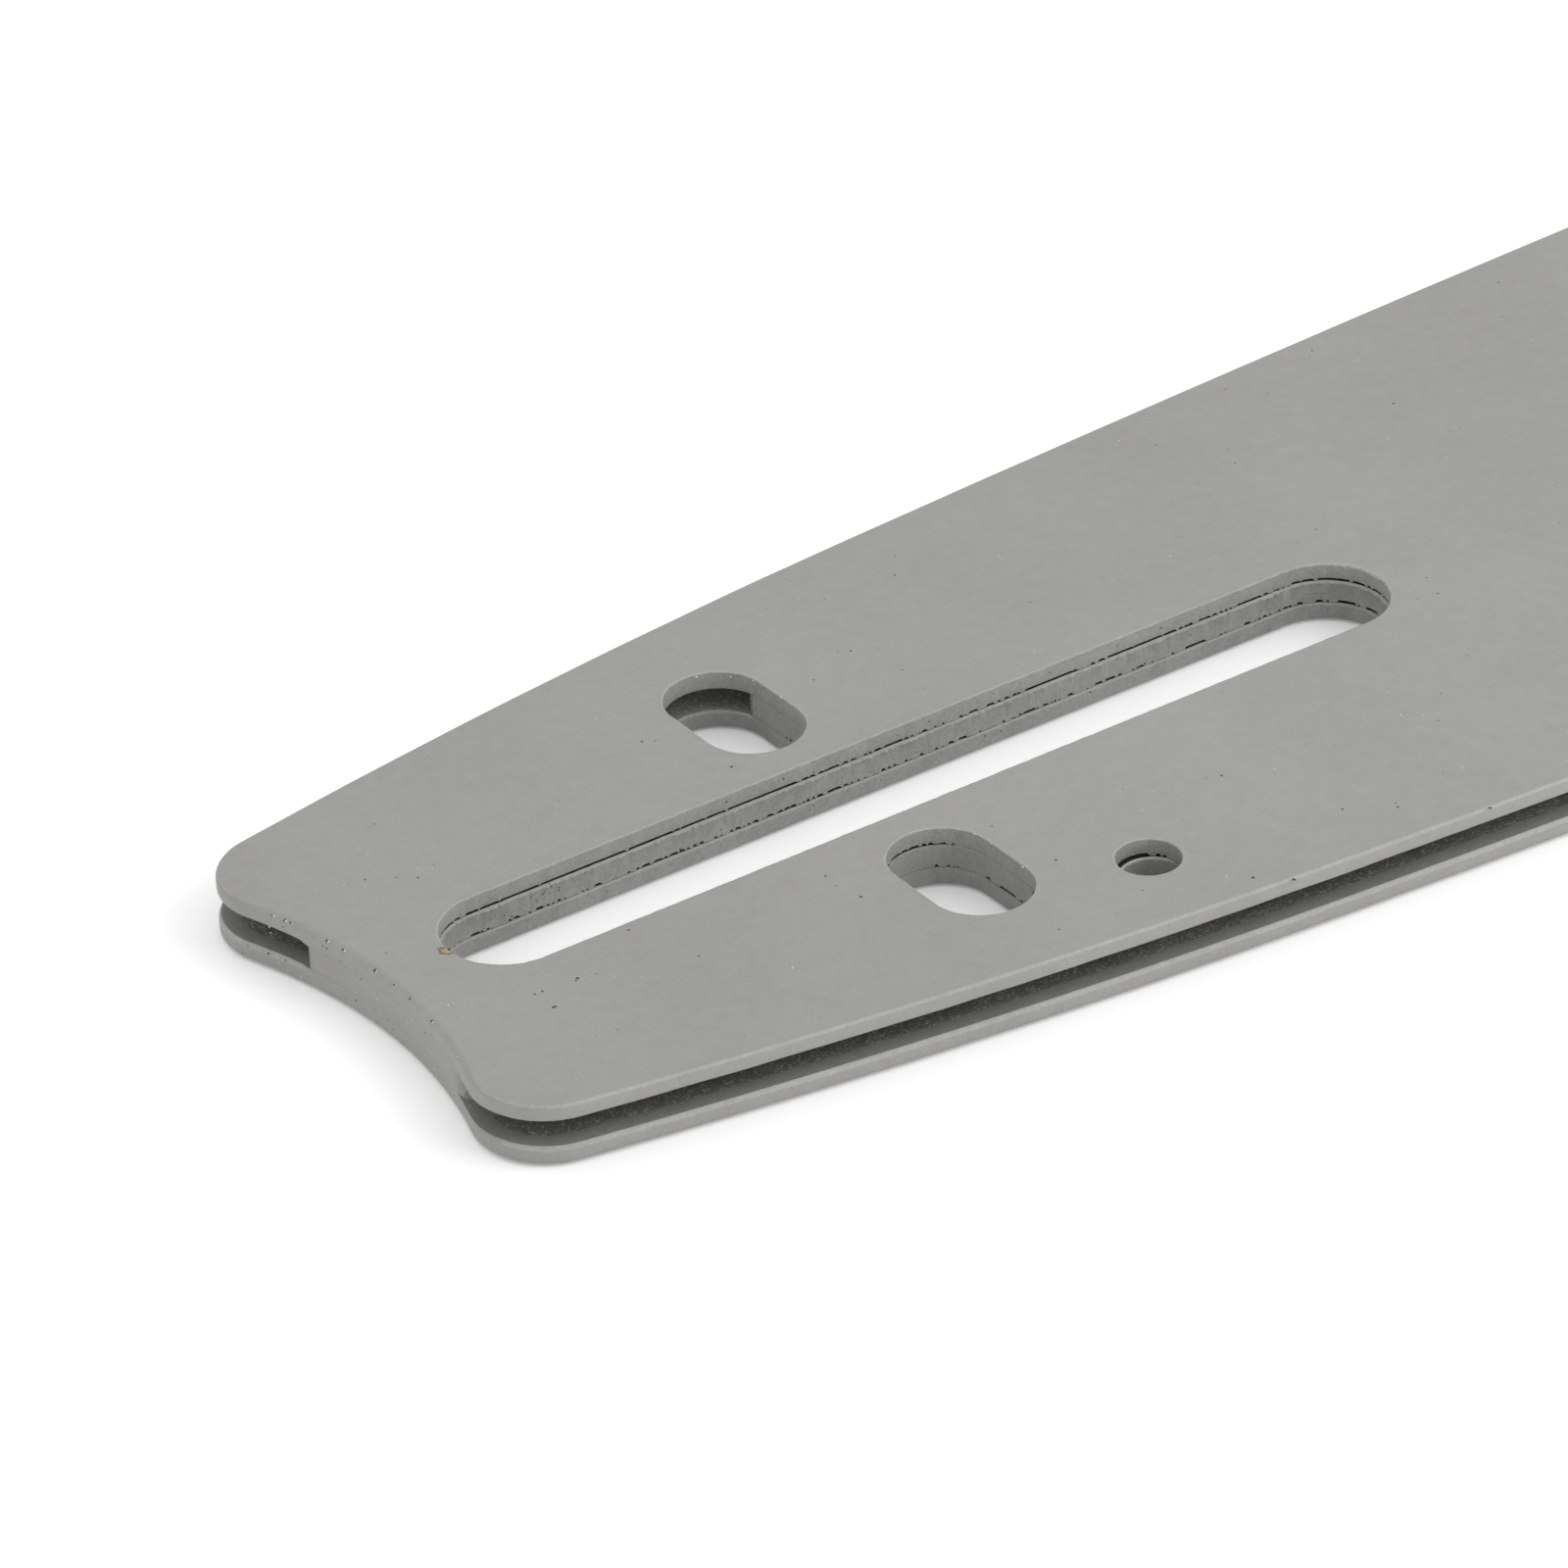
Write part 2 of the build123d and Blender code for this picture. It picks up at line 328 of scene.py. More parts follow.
class Outline:
    """The rail plates' outline, worked out from its driving sizes."""

    def __init__(self, scene):
        s = sizes(scene.bar_outline)
        self.s = s
        self.half = RAIL_HIGH.y / MM
        self.nose = Vector((NOSE_CENTRE.x / MM, 0))
        run = self.nose.x - s.widest_x
        self.side_radius = (run**2 / (self.half - s.nose_radius) + s.nose_radius + self.half) / 2
        self.side = Vector((s.widest_x, self.half - self.side_radius))
        self.nose_angle = atan2(self.nose.y - self.side.y, self.nose.x - self.side.x)
        self.join_angle = acos((s.tail_side_start_x - s.widest_x) / self.side_radius)
        to_join = Vector((cos(self.join_angle), sin(self.join_angle)))
        self.tail = self.side + to_join * (self.side_radius - s.tail_side_radius)
        self.hollow = Vector((-s.tail_reach - s.tail_hollow_radius, -s.hollow_shift))

    def tail_corner(self, hollow, radius):
        """The corner between the far side and a hollow end: its centre, and where it starts and ends."""
        s = self.s
        side_reach = s.tail_side_radius - radius
        corner = meeting(self.tail, side_reach, hollow, s.tail_hollow_radius + radius)
        start = atan2(corner.y - self.tail.y, corner.x - self.tail.x)
        return corner, start, atan2(corner.y - hollow.y, corner.x - hollow.x)

    def rail(self, step):
        """The whole outline, taken to the left, from the near side round the nose to the tail."""
        s = self.s

        def under(point):
            return Vector((point.x, -point.y))

        far, far_start, far_end = self.tail_corner(self.hollow, s.far_corner_radius)
        near, near_start, near_end = self.tail_corner(under(self.hollow), s.near_corner_radius)
        return (
            arc(under(self.tail), s.tail_side_radius, -near_start, -self.join_angle, step)
            + arc(under(self.side), self.side_radius, -self.join_angle, -self.nose_angle, step)
            + arc(self.nose, s.nose_radius, -self.nose_angle, self.nose_angle, step)
            + arc(self.side, self.side_radius, self.nose_angle, self.join_angle, step)
            + arc(self.tail, s.tail_side_radius, self.join_angle, far_start, step)
            + arc(far, s.far_corner_radius, far_start, far_end + pi, step)
            + arc(self.hollow, s.tail_hollow_radius, far_end, -near_end, step)
            + arc(under(near), s.near_corner_radius, -near_end - pi, -near_start, step)
        )

    def half_width(self, x, inset):
        """Half the bar's width at x, less the inset."""
        if x < self.s.tail_side_start_x:
            centre, radius = self.tail, self.s.tail_side_radius
        else:
            centre, radius = self.side, self.side_radius
        return centre.y + sqrt((radius - inset) ** 2 - (x - centre.x) ** 2)

    def hollow_x(self, y):
        """Where the hollow end is at y."""
        return self.hollow.x + sqrt(self.s.tail_hollow_radius**2 - (y - self.hollow.y) ** 2)


def opening_paths(scene, step):
    """Each opening of the plates: its name, its middle and its stations."""
    s = sizes(scene.bar_openings)
    radius = s.slot_width / 2
    slot_end = s.slot_tail_x + s.slot_centres
    reach = (s.oblong_length - s.oblong_width) / 2
    paths = [
        ("stud_slot", (0, 0), oblong((s.slot_tail_x, 0), (slot_end, 0), radius, step)),
        ("oil_hole", (s.oil_x, s.oil_y), circle((s.oil_x, s.oil_y), s.oil_radius, step)),
    ]
    for name, y in (("far_oblong", s.oblong_spacing / 2), ("near_oblong", -s.oblong_spacing / 2)):
        path = oblong((0, y - reach), (0, y + reach), s.oblong_width / 2, step)
        paths.append((name, (0, y), path))
    return paths


JOINT_LINES = {
    # how open the joint line is, how much more so on one side, and the direction of that side
    "stud_slot": {"upper": (0.3, 0.12, 180.0), "lower": (0.0, 0.0, 0.0)},
    "near_oblong": {"upper": (-0.25, 0.58, 140.0), "lower": (-0.6, 0.75, 0.0)},
    "far_oblong": {"upper": (-0.9, 0.0, 0.0), "lower": (-0.7, 0.5, -30.0)},
    "oil_hole": {"upper": (-0.12, 0.25, 80.0)},  # its lower joint line is filled all round
}
JOINT_SEEDS = {"upper": 3.1, "lower": 8.6}
DASH_PITCHES = {"upper": 3.6, "lower": 4.7}  # waves for each millimetre of a joint line
STRETCH_PITCH = 0.5  # and of the long stretches that are more or less open
JOINT_STEEPNESS = 6  # how sharply a joint line passes from filled to open
# How far the core's edge stands out under the upper joint line, as a share of the full ledge
LEDGES = {"stud_slot": 1.0, "near_oblong": 0.15, "far_oblong": 0.1, "oil_hole": 0.4}
LOWER_LEDGE = 0.4  # the lower rail's ledge under the lower joint line, as a share of the core's
WIDE_LEDGE = 0.3  # with a larger share than this the lower ledge has the painted highlight


def clamped(value):
    return min(1, max(0, value))


def openness(name, middle, station, seam):
    """How far a joint line is open at a station, from 0 where paint fills it to 1."""
    share, gain, direction = JOINT_LINES[name][seam]
    bearing = atan2(station.y - middle[1], station.x - middle[0])
    share += gain * cos(bearing - radians(direction))
    place = Vector((station.x, station.y, JOINT_SEEDS[seam]))
    dashes = 0.7 * noise.noise(place * DASH_PITCHES[seam])
    stretches = 0.45 * noise.noise(place * STRETCH_PITCH)
    return clamped((dashes + stretches + share) * JOINT_STEEPNESS)


def rounding(radius, z, count):
    """The points over a rounded edge, up from the wall to the face at z."""
    points = []
    for i in range(count + 1):
        a = pi / 2 * i / count
        points.append((radius * (1 - cos(a)), z - radius * (1 - sin(a))))
    return points


def wavering(station, size, share, pitch, seed):
    """A size that wavers along an edge by a share of itself."""
    place = Vector((station.x * pitch, station.y * pitch, seed))
    return size * (1 + share * noise.noise(place))


SUPPORT = 0.03  # width of the flat strip that keeps a face flat beside a rounded edge


def flat_strip(points):
    """Adds the flat strip beyond the last point of an edge."""
    inset, z = points[-1]
    return points + [(inset + SUPPORT, z)]


FILLED_JOINT = 0.012  # depth and height that a joint line keeps where paint fills it
JOINT_SOFTNESS = 0.03  # rounding of the wall's edge above a joint line


def open_joint(openings, share, z):
    """The open joint at the lower edge of a plate's wall, from the face at z up to the wall."""
    depth = FILLED_JOINT + openings.crack_depth * share
    height = FILLED_JOINT + openings.crack_height * share
    return [
        (depth + SUPPORT, z),
        (depth, z),
        (depth, z + height),
        (JOINT_SOFTNESS / 3, z + height),
        (0, z + height + JOINT_SOFTNESS),
    ]


SHADE_REACH = 0.35  # width of the strip beyond a lip that carries the painted shade seen through an open joint
LIP_FOOT = 0.12  # height of the strip that passes from the wall to a lip


def lip(openings, station, z, seed, bead, reach=SHADE_REACH):
    """The upper edge of a plate's wall under a joint line: a soft ledge, then the strip that the joint
    shows, which carries painted shade.
    """
    wave = noise.noise(Vector((station.x, station.y, seed)) * 4.3)
    proud = bead * max(0.1, 0.8 + 1.6 * wave)  # how far the ledge stands out here
    radius = wavering(station, openings.lip, 0.5, 1.7, seed)
    points = rounding(radius, z, 3)
    points = [(inset - proud * (1 - inset / radius), height) for inset, height in points]
    points = flat_strip([(0, z - radius - LIP_FOOT)] + points)
    return points + [(points[-1][0] + reach, z)]


TORN_DEPTH = 0.3  # how far the slot's rim is torn out round its end towards the nose
TORN_MIDDLE = radians(15)  # bearing from that end's centre where it is torn most
TORN_REACH = radians(58)  # and how far from there the last tears are


def torn(openings, station):
    """How far the upper rim is torn out at a station."""
    along = station.x - openings.slot_tail_x - openings.slot_centres
    if along < 0:
        return 0
    fade = max(0, 1 - abs(atan2(station.y, along) - TORN_MIDDLE) / TORN_REACH)
    wave = noise.noise(Vector((station.x * 1.6, station.y * 1.6, 4.4)))
    step = noise.noise(Vector((station.x * 5, station.y * 5, 9.4)))
    return max(0, TORN_DEPTH * min(1, fade * 1.6) * (0.3 + wave + 0.8 * step))


def flat_face(bm, rings):
    """Fills a plate's face with triangles, between rings that have the material on their left."""
    corners = [corner for ring in rings for corner in ring]
    edges = []
    for ring in rings:
        start = len(edges)
        edges += [(start + i, start + (i + 1) % len(ring)) for i in range(len(ring))]
    places = [corner.co.xy for corner in corners]
    _, _, triangles, origins, _, _ = geometry.delaunay_2d_cdt(places, edges, [], 0, 1e-6)
    triangles = [[origins[i][0] for i in triangle] for triangle in triangles]
    owner = {}
    for number, (a, b, c) in enumerate(triangles):
        owner.update({(a, b): number, (b, c): number, (c, a): number})
    borders = set(edges) | {(b, a) for a, b in edges}
    waiting = [owner[edge] for edge in edges]
    kept = set()
    while waiting:
        number = waiting.pop()
        if number not in kept:
            kept.add(number)
            a, b, c = triangles[number]
            waiting += [owner[j, i] for i, j in ((a, b), (b, c), (c, a)) if (i, j) not in borders]
    return [bm.faces.new([corners[i] for i in triangles[number]]) for number in sorted(kept)]


def plate(name, loops, slots, fills):
    """One closed plate. Each loop is a list of columns, each column its points from face to face.

    slots gives the material of each column's strips from ring to ring, for each loop, and fills
    those of the first and the last face.
    """
    bm = bmesh.new()
    first, last = [], []
    for columns, column_slots in zip(loops, slots):
        rings = [[bm.verts.new(column[k]) for column in columns] for k in range(len(columns[0]))]
        count = len(columns)
        for k in range(len(rings) - 1):
            for i in range(count):
                j = (i + 1) % count
                face = bm.faces.new((rings[k][i], rings[k][j], rings[k + 1][j], rings[k + 1][i]))
                face.material_index = column_slots[i][k]
        first.append(rings[0])
        last.append(rings[-1])
    for rings, slot in ((first, fills[0]), (last, fills[1])):
        for face in flat_face(bm, rings):
            face.material_index = slot
    for face in bm.faces:
        face.smooth = True
    bmesh.ops.recalc_face_normals(bm, faces=bm.faces)
    gaps = [edge for edge in bm.edges if len(edge.link_faces) != 2]
    if gaps:
        raise RuntimeError(f"{name} has {len(gaps)} edges that aren't between two faces")
    return placed_object(name, bm)


def linked(name, data):
    """A new object of this mesh, camera or lamp, in the scene."""
    piece = bpy.data.objects.new(name, data)
    bpy.context.scene.collection.objects.link(piece)
    return piece


def placed_object(name, bm):
    """The object of a mesh made in millimetres."""
    mesh = bpy.data.meshes.new(name)
    bm.to_mesh(mesh)
    bm.free()
    mesh.transform(Matrix.Scale(MM, 4))
    return linked(name, mesh)


# The plates' materials, and their slots in the same order. The edge paint and the nib material carry a
# painted highlight, and the open joints' material a painted shade.
PLATE_MATERIALS = (
    "sprayed paint",
    "paint on walls",
    "groove paint",
    "open joints",
    "paint on edges",
    "light nibs",
    "rough groove paint",
)
PAINT, WALL, GROOVE, GAP_SHADE, EDGE_HIGHLIGHT, LIP_HIGHLIGHT, ROUGH = range(7)

OUTLINE_STEP = 0.7  # millimetres between the stations of the outer outline
OPENING_STEP = 0.1  # and of the openings, where joint lines and rims show
CORNER_GAP = 0.2  # where an opening cuts the core's edge, its stations start this far from the edge
SMOOTH_REACH = 1.25  # how far into the groove the rails' faces are smoothly covered with paint

# Places across the bar, from its middle, where the rails' edges on the hollow end change
HOLLOW_EDGE_Y = 17.5  # these edges reach this far, and the next values hold within it
HOLLOW_EDGE_X = 3  # along the bar they end this far beyond the bottom of the hollow
HOLLOW_ROUND_Y = 9  # the hollow end's wide rounding starts to fade here
HOLLOW_ROUND_FADE = 5
LIGHT_EDGE_Y = 11.5  # the painted highlight on the rounding starts here
LIGHT_EDGE_STEP = 2  # and covers one strip more for each such step outwards
HOLLOW_FOOT_EDGE = 0.12  # rounding of the lower rail's edge at the floor, on the hollow end
NEAR_BEVEL_FADE = 4  # the inner bevel grows over this much of the near side beyond the core
FAR_BEVEL_FADE = 0.8  # and over this much of the far side


def covered(outline, core, name, station):
    """Whether the core plate reaches a station of an opening."""
    if name == "oil_hole":
        return station.y > CORNER_GAP - outline.half_width(station.x, core.groove_depth)
    return abs(station.y) < core.notch_floor_y - CORNER_GAP


def outer_edge(outline, core, thickness, station, upper):
    """The points over a rail's outer edge, up from its inner face, and their strips' slots."""
    edges = outline.s
    height = edges.upper_bevel_height if upper else edges.lower_bevel_height
    height = wavering(station, height, 0.2, 0.3, 2)
    depth = edges.upper_bevel_depth if upper else edges.lower_bevel_depth
    bevel = [(depth, 0), (depth * 0.6, height * 0.33), (depth * 0.3, height * 0.62)]
    bevel += [(0.02, height * 0.94), (0, height * 1.15)]
    outer = edges.outer_edge if upper else edges.foot_edge
    opened = 1
    light = 3 if upper else 0  # how many strips of the rounding have the painted highlight
    across = abs(station.y)
    if station.x < outline.hollow_x(0) + HOLLOW_EDGE_X and across < HOLLOW_EDGE_Y:
        blend = clamped((across - HOLLOW_ROUND_Y) / HOLLOW_ROUND_FADE)
        hollow_outer = edges.hollow_edge if upper else HOLLOW_FOOT_EDGE
        outer = blend * outer + (1 - blend) * hollow_outer
        light = min(light, max(0, int((across - LIGHT_EDGE_Y) / LIGHT_EDGE_STEP)))
        if station.y < 0:
            opened = clamped((-core.near_end_y - station.y) / NEAR_BEVEL_FADE)
        else:
            opened = clamped((station.y - core.far_end_y) / FAR_BEVEL_FADE)
        flush = [(0.002 * (4 - i), 0.005 * i) for i in range(5)]
        bevel = [
            (a + (c - a) * opened, b + (d - b) * opened)
            for (a, b), (c, d) in zip(flush, bevel)
        ]
    end = flat_strip(rounding(wavering(station, outer, 0.15, 0.15, 5), thickness, 6))
    face = [(SMOOTH_REACH, 0), (bevel[0][0] + SUPPORT, 0)]
    # the lower rail's bevel at the groove has the painted highlight, away from the hollow end
    inner = PAINT if opened < 1 or upper else EDGE_HIGHLIGHT
    rounded = [PAINT] * (4 - light) + [EDGE_HIGHLIGHT] * light + [PAINT] * 2
    return face + bevel + end, [GROOVE] * 2 + [inner] * 4 + [PAINT] * 2 + rounded


def upper_opening(openings, thickness, name, middle, station):
    """The points up the wall of an opening in the upper rail, over its rim, and their slots."""
    rim = wavering(station, openings.rim, 0.35, 1.3, 7) + torn(openings, station)
    fat = wavering(station, openings.fat_edge, 0.9, 1.8, 11)
    start = open_joint(openings, openness(name, middle, station, "upper"), 0)
    end = opening_rim(rim, fat, thickness)
    # the rim's rounded strips have the painted highlight, and the open joint under the wall the painted
    # shade
    return start + end, [GAP_SHADE] * 3 + [WALL] * 3 + [EDGE_HIGHLIGHT] * 3 + [PAINT] * 3


def lower_opening(openings, thickness, name, station, on_core):
    """The points down the wall of an opening in the lower rail, from its lip, and their slots."""
    rim = wavering(station, openings.foot, 0.3, 0.9, 7)
    bead = openings.ledge * LOWER_LEDGE * LEDGES[name]
    start = [(i, -h) for i, h in reversed(lip(openings, station, 0, 1.5, bead))]
    # the lip's strips have the painted highlight where its ledge is wide, and the strip beyond it the
    # painted shade
    under, seen = GAP_SHADE, EDGE_HIGHLIGHT if LEDGES[name] > WIDE_LEDGE else WALL
    if not on_core:
        under, seen = GROOVE, EDGE_HIGHLIGHT
    return start + opening_rim(rim, 0, thickness), [under] + [seen] * 5 + [WALL] + [PAINT] * 7


def opening_rim(rim, fat, thickness):
    """The points over an opening's rounded rim, beside which the paint stands up by fat."""
    end = rounding(rim, thickness + fat, 4)
    return flat_strip(end + [(rim + 0.08, thickness + fat * 0.8), (rim + 0.22, thickness)])


def countersink(nose, thickness):
    """The points up the countersunk hole of a rivet, from the shank to the outer face."""
    flare = nose.rivet_head - nose.rivet_shank
    return [(-flare, 0), (-0.02, thickness - 0.05), (0.03, thickness), (0.06, thickness)]


def rail_loops(scene, upper):
    """The loops of a rail plate, from its inner face to its outer face, and their strips' slots."""
    outline = Outline(scene)
    openings = sizes(scene.bar_openings)
    core = sizes(scene.bar_core)
    nose = sizes(scene.bar_nose)
    thickness = (RAIL_HIGH.z - RAIL_LOW.z) / MM
    inner_z = (CORE_HIGH.z if upper else CORE_LOW.z) / MM
    way = 1 if upper else -1
    loops, slots = [], []

    def opening_shape(name, middle, station):
        if upper:
            return upper_opening(openings, thickness, name, middle, station)
        on_core = covered(outline, core, name, station)
        return lower_opening(openings, thickness, name, station, on_core)

    def add_loop(path, shape):
        """Adds the loop of a path, whose shape at a station is its points and their slots."""
        shapes = [shape(station) for station in path]
        loops.append(
            [
                [station.moved(inset, inner_z + way * height) for inset, height in points]
                for station, (points, _) in zip(path, shapes)
            ]
        )
        slots.append([strips for _, strips in shapes])

    add_loop(
        outline.rail(OUTLINE_STEP),
        lambda station: outer_edge(outline, core, thickness, station, upper),
    )
    for name, middle, path in opening_paths(scene, OPENING_STEP):
        add_loop(path, lambda station: opening_shape(name, middle, station))
    hole = countersink(nose, thickness)
    for turn in range(nose.rivets):
        a = 2 * pi * turn / nose.rivets
        centre = outline.nose + Vector((cos(a), sin(a))) * nose.rivet_circle
        add_loop(circle(centre, nose.rivet_head, 0.3), lambda station: (hole, [WALL, PAINT, PAINT]))
    return loops, slots


class Path:
    """A closed way along the core plate's edge, whose points may lie on the wall of an opening."""

    def __init__(self):
        self.points = []
        self.openings = []

    def add(self, points, opening=None):
        for x, y in points:
            self.points.append(Vector((x, y)))
            self.openings.append(opening)

    def stations(self):
        """Each point as a station, facing between the directions of its two neighbours."""
        made = []
        count = len(self.points)
        for i, point in enumerate(self.points):
            before = (point - self.points[i - 1]).normalized()
            after = (self.points[(i + 1) % count] - point).normalized()
            way = (before + after).normalized()
            made.append((Station(point.x, point.y, -way.y, way.x), self.openings[i]))
        return made


def kept_stretch(path, keep):
    """The points of a round path that satisfy keep, as one stretch without its gap."""
    points = [(station.x, station.y) for station in path]
    flags = [keep(x, y) for x, y in points]
    start = next(i for i in range(len(flags)) if flags[i] and not flags[i - 1])
    turned = points[start:] + points[:start]
    return [point for point in turned if keep(*point)]


def crossing(low, high, outside):
    """The place between low and high where outside stops being true."""
    for _ in range(40):
        middle = (low + high) / 2
        if outside(middle):
            low = middle
        else:
            high = middle
    return (low + high) / 2


CORE_STEP = 2  # millimetres between the stations of the core's long edges
END_STEPS = 8  # steps round the core's rounded corner on the hollow end
END_RUN = 1.6  # that rounding runs so many times as far along the groove as across the bar


def core_path(scene):
    """The core plate's outline, taken to the left, with the openings that its edge runs into."""
    outline = Outline(scene)
    core = sizes(scene.bar_core)
    holes = sizes(scene.bar_openings)
    paths = {name: path for name, _, path in opening_paths(scene, OPENING_STEP)}
    nose_x = outline.nose.x
    pocket = SPROCKET_HIGH.y / MM + core.pocket_clearance
    half_notch = core.notch_width / 2
    floor = core.notch_floor_y
    round_y = (holes.oblong_spacing + holes.oblong_length - holes.oblong_width) / 2
    mouth = sqrt((holes.oblong_width / 2) ** 2 - (floor - round_y) ** 2)
    oil = Vector((holes.oil_x + holes.oil_shift / 3, holes.oil_y - holes.oil_shift))

    def edge(x):
        return outline.half_width(x, core.groove_depth)

    def side(start, end, way):
        """The edge from start to end along the bar, without end, on the far side for way +1."""
        count = max(1, ceil(abs(end - start) / CORE_STEP))
        return [(x, way * edge(x)) for x in (start + (end - start) * i / count for i in range(count))]

    def before_oil(x):
        return hypot(x - oil.x, -edge(x) - oil.y) > holes.oil_radius

    oil_start = crossing(oil.x - 3, oil.x, before_oil)
    oil_end = crossing(oil.x + 3, oil.x, before_oil)
    pocket_x = crossing(nose_x - pocket, nose_x, lambda x: hypot(x - nose_x, edge(x)) > pocket)
    pocket_angle = atan2(edge(pocket_x), pocket_x - nose_x)
    hollow_y = outline.hollow.y
    start_y = core.end_round - core.near_end_y
    far_angle = asin((core.far_end_y - hollow_y) / outline.s.tail_hollow_radius)
    near_angle = asin((start_y - hollow_y) / outline.s.tail_hollow_radius)

    corner = Vector((outline.hollow_x(-core.near_end_y), -core.near_end_y))
    start = Vector((outline.hollow_x(start_y), start_y))
    flare = Vector((core.flare_x, -edge(core.flare_x)))
    end = corner + (flare - corner).normalized() * core.end_round * END_RUN
    path = Path()
    for i in range(END_STEPS + 1):
        t = i / END_STEPS
        point = start * (1 - t) ** 2 + corner * (2 * t * (1 - t)) + end * t**2
        path.add([point.to_tuple()], "hollow" if i < 2 else "corner")
    path.add(side(core.flare_x, -half_notch, -1))
    path.add([(-half_notch, -edge(-half_notch)), (-half_notch, -floor), (-mouth, -floor)])
    wall = paths["near_oblong"]
    path.add(kept_stretch(wall, lambda x, y: y > -floor + CORNER_GAP), "near_oblong")
    path.add([(mouth, -floor), (half_notch, -floor)])
    path.add(side(half_notch, oil_start, -1))
    path.add([(oil_start, -edge(oil_start))])
    wall = circle(oil, holes.oil_radius, OPENING_STEP)
    path.add(kept_stretch(wall, lambda x, y: y > -edge(x) + CORNER_GAP), "oil_hole")
    path.add(side(oil_end, pocket_x, -1))
    wall = arc(outline.nose, pocket, 2 * pi - pocket_angle, pocket_angle, 1.0)
    path.add((station.x, station.y) for station in wall)
    path.add(side(pocket_x, half_notch, 1))
    path.add([(half_notch, edge(half_notch)), (half_notch, floor), (mouth, floor)])
    wall = paths["far_oblong"]
    path.add(kept_stretch(wall, lambda x, y: y < floor - CORNER_GAP), "far_oblong")
    path.add([(-mouth, floor), (-half_notch, floor)])
    path.add(side(-half_notch, core.flare_x, 1))
    path.add([(core.flare_x, edge(core.flare_x))])
    hollow = arc(outline.hollow, outline.s.tail_hollow_radius, far_angle, near_angle, 0.5)
    path.add([(station.x, station.y) for station in hollow], "hollow")
    return path


LEAN = 1.1  # how far the core's edge leans in at its top, at its rounded corner
LEAN_Y, LEAN_GROWTH = 9.2, 1.4  # across the near side it starts here, and grows over this width
LEAN_X, LEAN_FADE = 29, 4  # along the groove it ends here, and fades over this length


def leaning(station):
    """How far the core's edge leans in at its top, at a station."""
    start = clamped((-station.y - LEAN_Y) / LEAN_GROWTH)
    end = clamped((-station.x - LEAN_X) / LEAN_FADE)
    return LEAN * start * end


JOINT_END_GAP = 0.6  # the joint lines in the oblong holes end this far before the notches' floor
OIL_JOINT_END_GAP = 0.7  # and those in the oil hole this far before the core's edge


def core_loops(scene):
    """The loops of the core plate, from its lower face to its upper face, and their slots."""
    openings = sizes(scene.bar_openings)
    low, high = CORE_LOW.z / MM, CORE_HIGH.z / MM
    middles = {name: middle for name, middle, _ in opening_paths(scene, OPENING_STEP)}
    slot = next(path for name, _, path in opening_paths(scene, OPENING_STEP) if name == "stud_slot")
    core = sizes(scene.bar_core)
    joint_end = core.notch_floor_y - JOINT_END_GAP
    outline = Outline(scene)

    def column(station, opening):
        """The points up the core's edge at a station, which may lie on an opening's wall."""
        bead = openings.ledge * LEDGES.get(opening, 0)
        share, reach = 0, SUPPORT
        if opening == "oil_hole":
            if station.y > OIL_JOINT_END_GAP - outline.half_width(station.x, core.groove_depth):
                reach = SHADE_REACH
        elif opening in middles and abs(station.y) < joint_end:
            share = openness(opening, middles[opening], station, "lower")
            reach = SHADE_REACH
        points = open_joint(openings, share, low) + lip(openings, station, high, 6.5, bead, reach)
        if opening == "hollow":
            # the plates are flush here, so the fine steps of the edge are a tenth as deep
            points = [(inset if inset > 0.1 else 0.1 * inset, z) for inset, z in points]
        lean = leaning(station)
        if lean > 0:
            points = [(inset + lean * (z - low) / (high - low), z) for inset, z in points]
        return [station.moved(inset, z) for inset, z in points]

    outer = core_path(scene).stations()
    loops = [
        [column(station, opening) for station, opening in outer],
        [column(station, "stud_slot") for station in slot],
    ]
    # the slots of the eleven strips up the core's edge; in an opening the open joint and the strip beyond
    # the lip carry painted shade, and the lip a painted highlight
    in_opening = [GAP_SHADE] * 3 + [WALL] * 2 + [EDGE_HIGHLIGHT] * 3 + [LIP_HIGHLIGHT] * 2 + [GAP_SHADE]
    smooth_opening = [GAP_SHADE] * 3 + [WALL] * 7 + [GAP_SHADE]
    kinds = {
        None: [ROUGH] * 11,
        "hollow": [PAINT] * 10 + [GROOVE],
        "corner": [GROOVE] * 11,
        "far_oblong": smooth_opening,
        "near_oblong": smooth_opening,
    }
    return loops, [
        [kinds.get(opening, in_opening) for _, opening in outer],
        [in_opening] * len(slot),
    ]


def coated(piece):
    """Gives a plate its materials, in the order of its slots."""
    for name in PLATE_MATERIALS:
        piece.data.materials.append(bpy.data.materials[name])


def node(tree, kind, inputs=None, **settings):
    """A new node with its settings. Its inputs are values, or the sockets that feed them."""
    made = tree.nodes.new(kind)
    for key, value in settings.items():
        setattr(made, key, value)
    for key, value in (inputs or {}).items():
        if isinstance(value, bpy.types.NodeSocket):
            tree.links.new(value, made.inputs[key])
        else:
            made.inputs[key].default_value = value
    return made


def maths(tree, operation, one, other):
    """The result of a calculation with two numbers."""
    return node(tree, "ShaderNodeMath", {0: one, 1: other}, operation=operation).outputs[0]


def scaled(tree, vector, size):
    """A vector times a number."""
    made = node(tree, "ShaderNodeVectorMath", {0: vector, "Scale": size}, operation="SCALE")
    return made.outputs[0]


def random_vector(tree, low, high, seed):
    """A random vector between low and high for each point."""
    inputs = {0: low, 1: high, "Seed": seed}
    made = node(tree, "FunctionNodeRandomValue", inputs, data_type="FLOAT_VECTOR")
    return made.outputs[0]


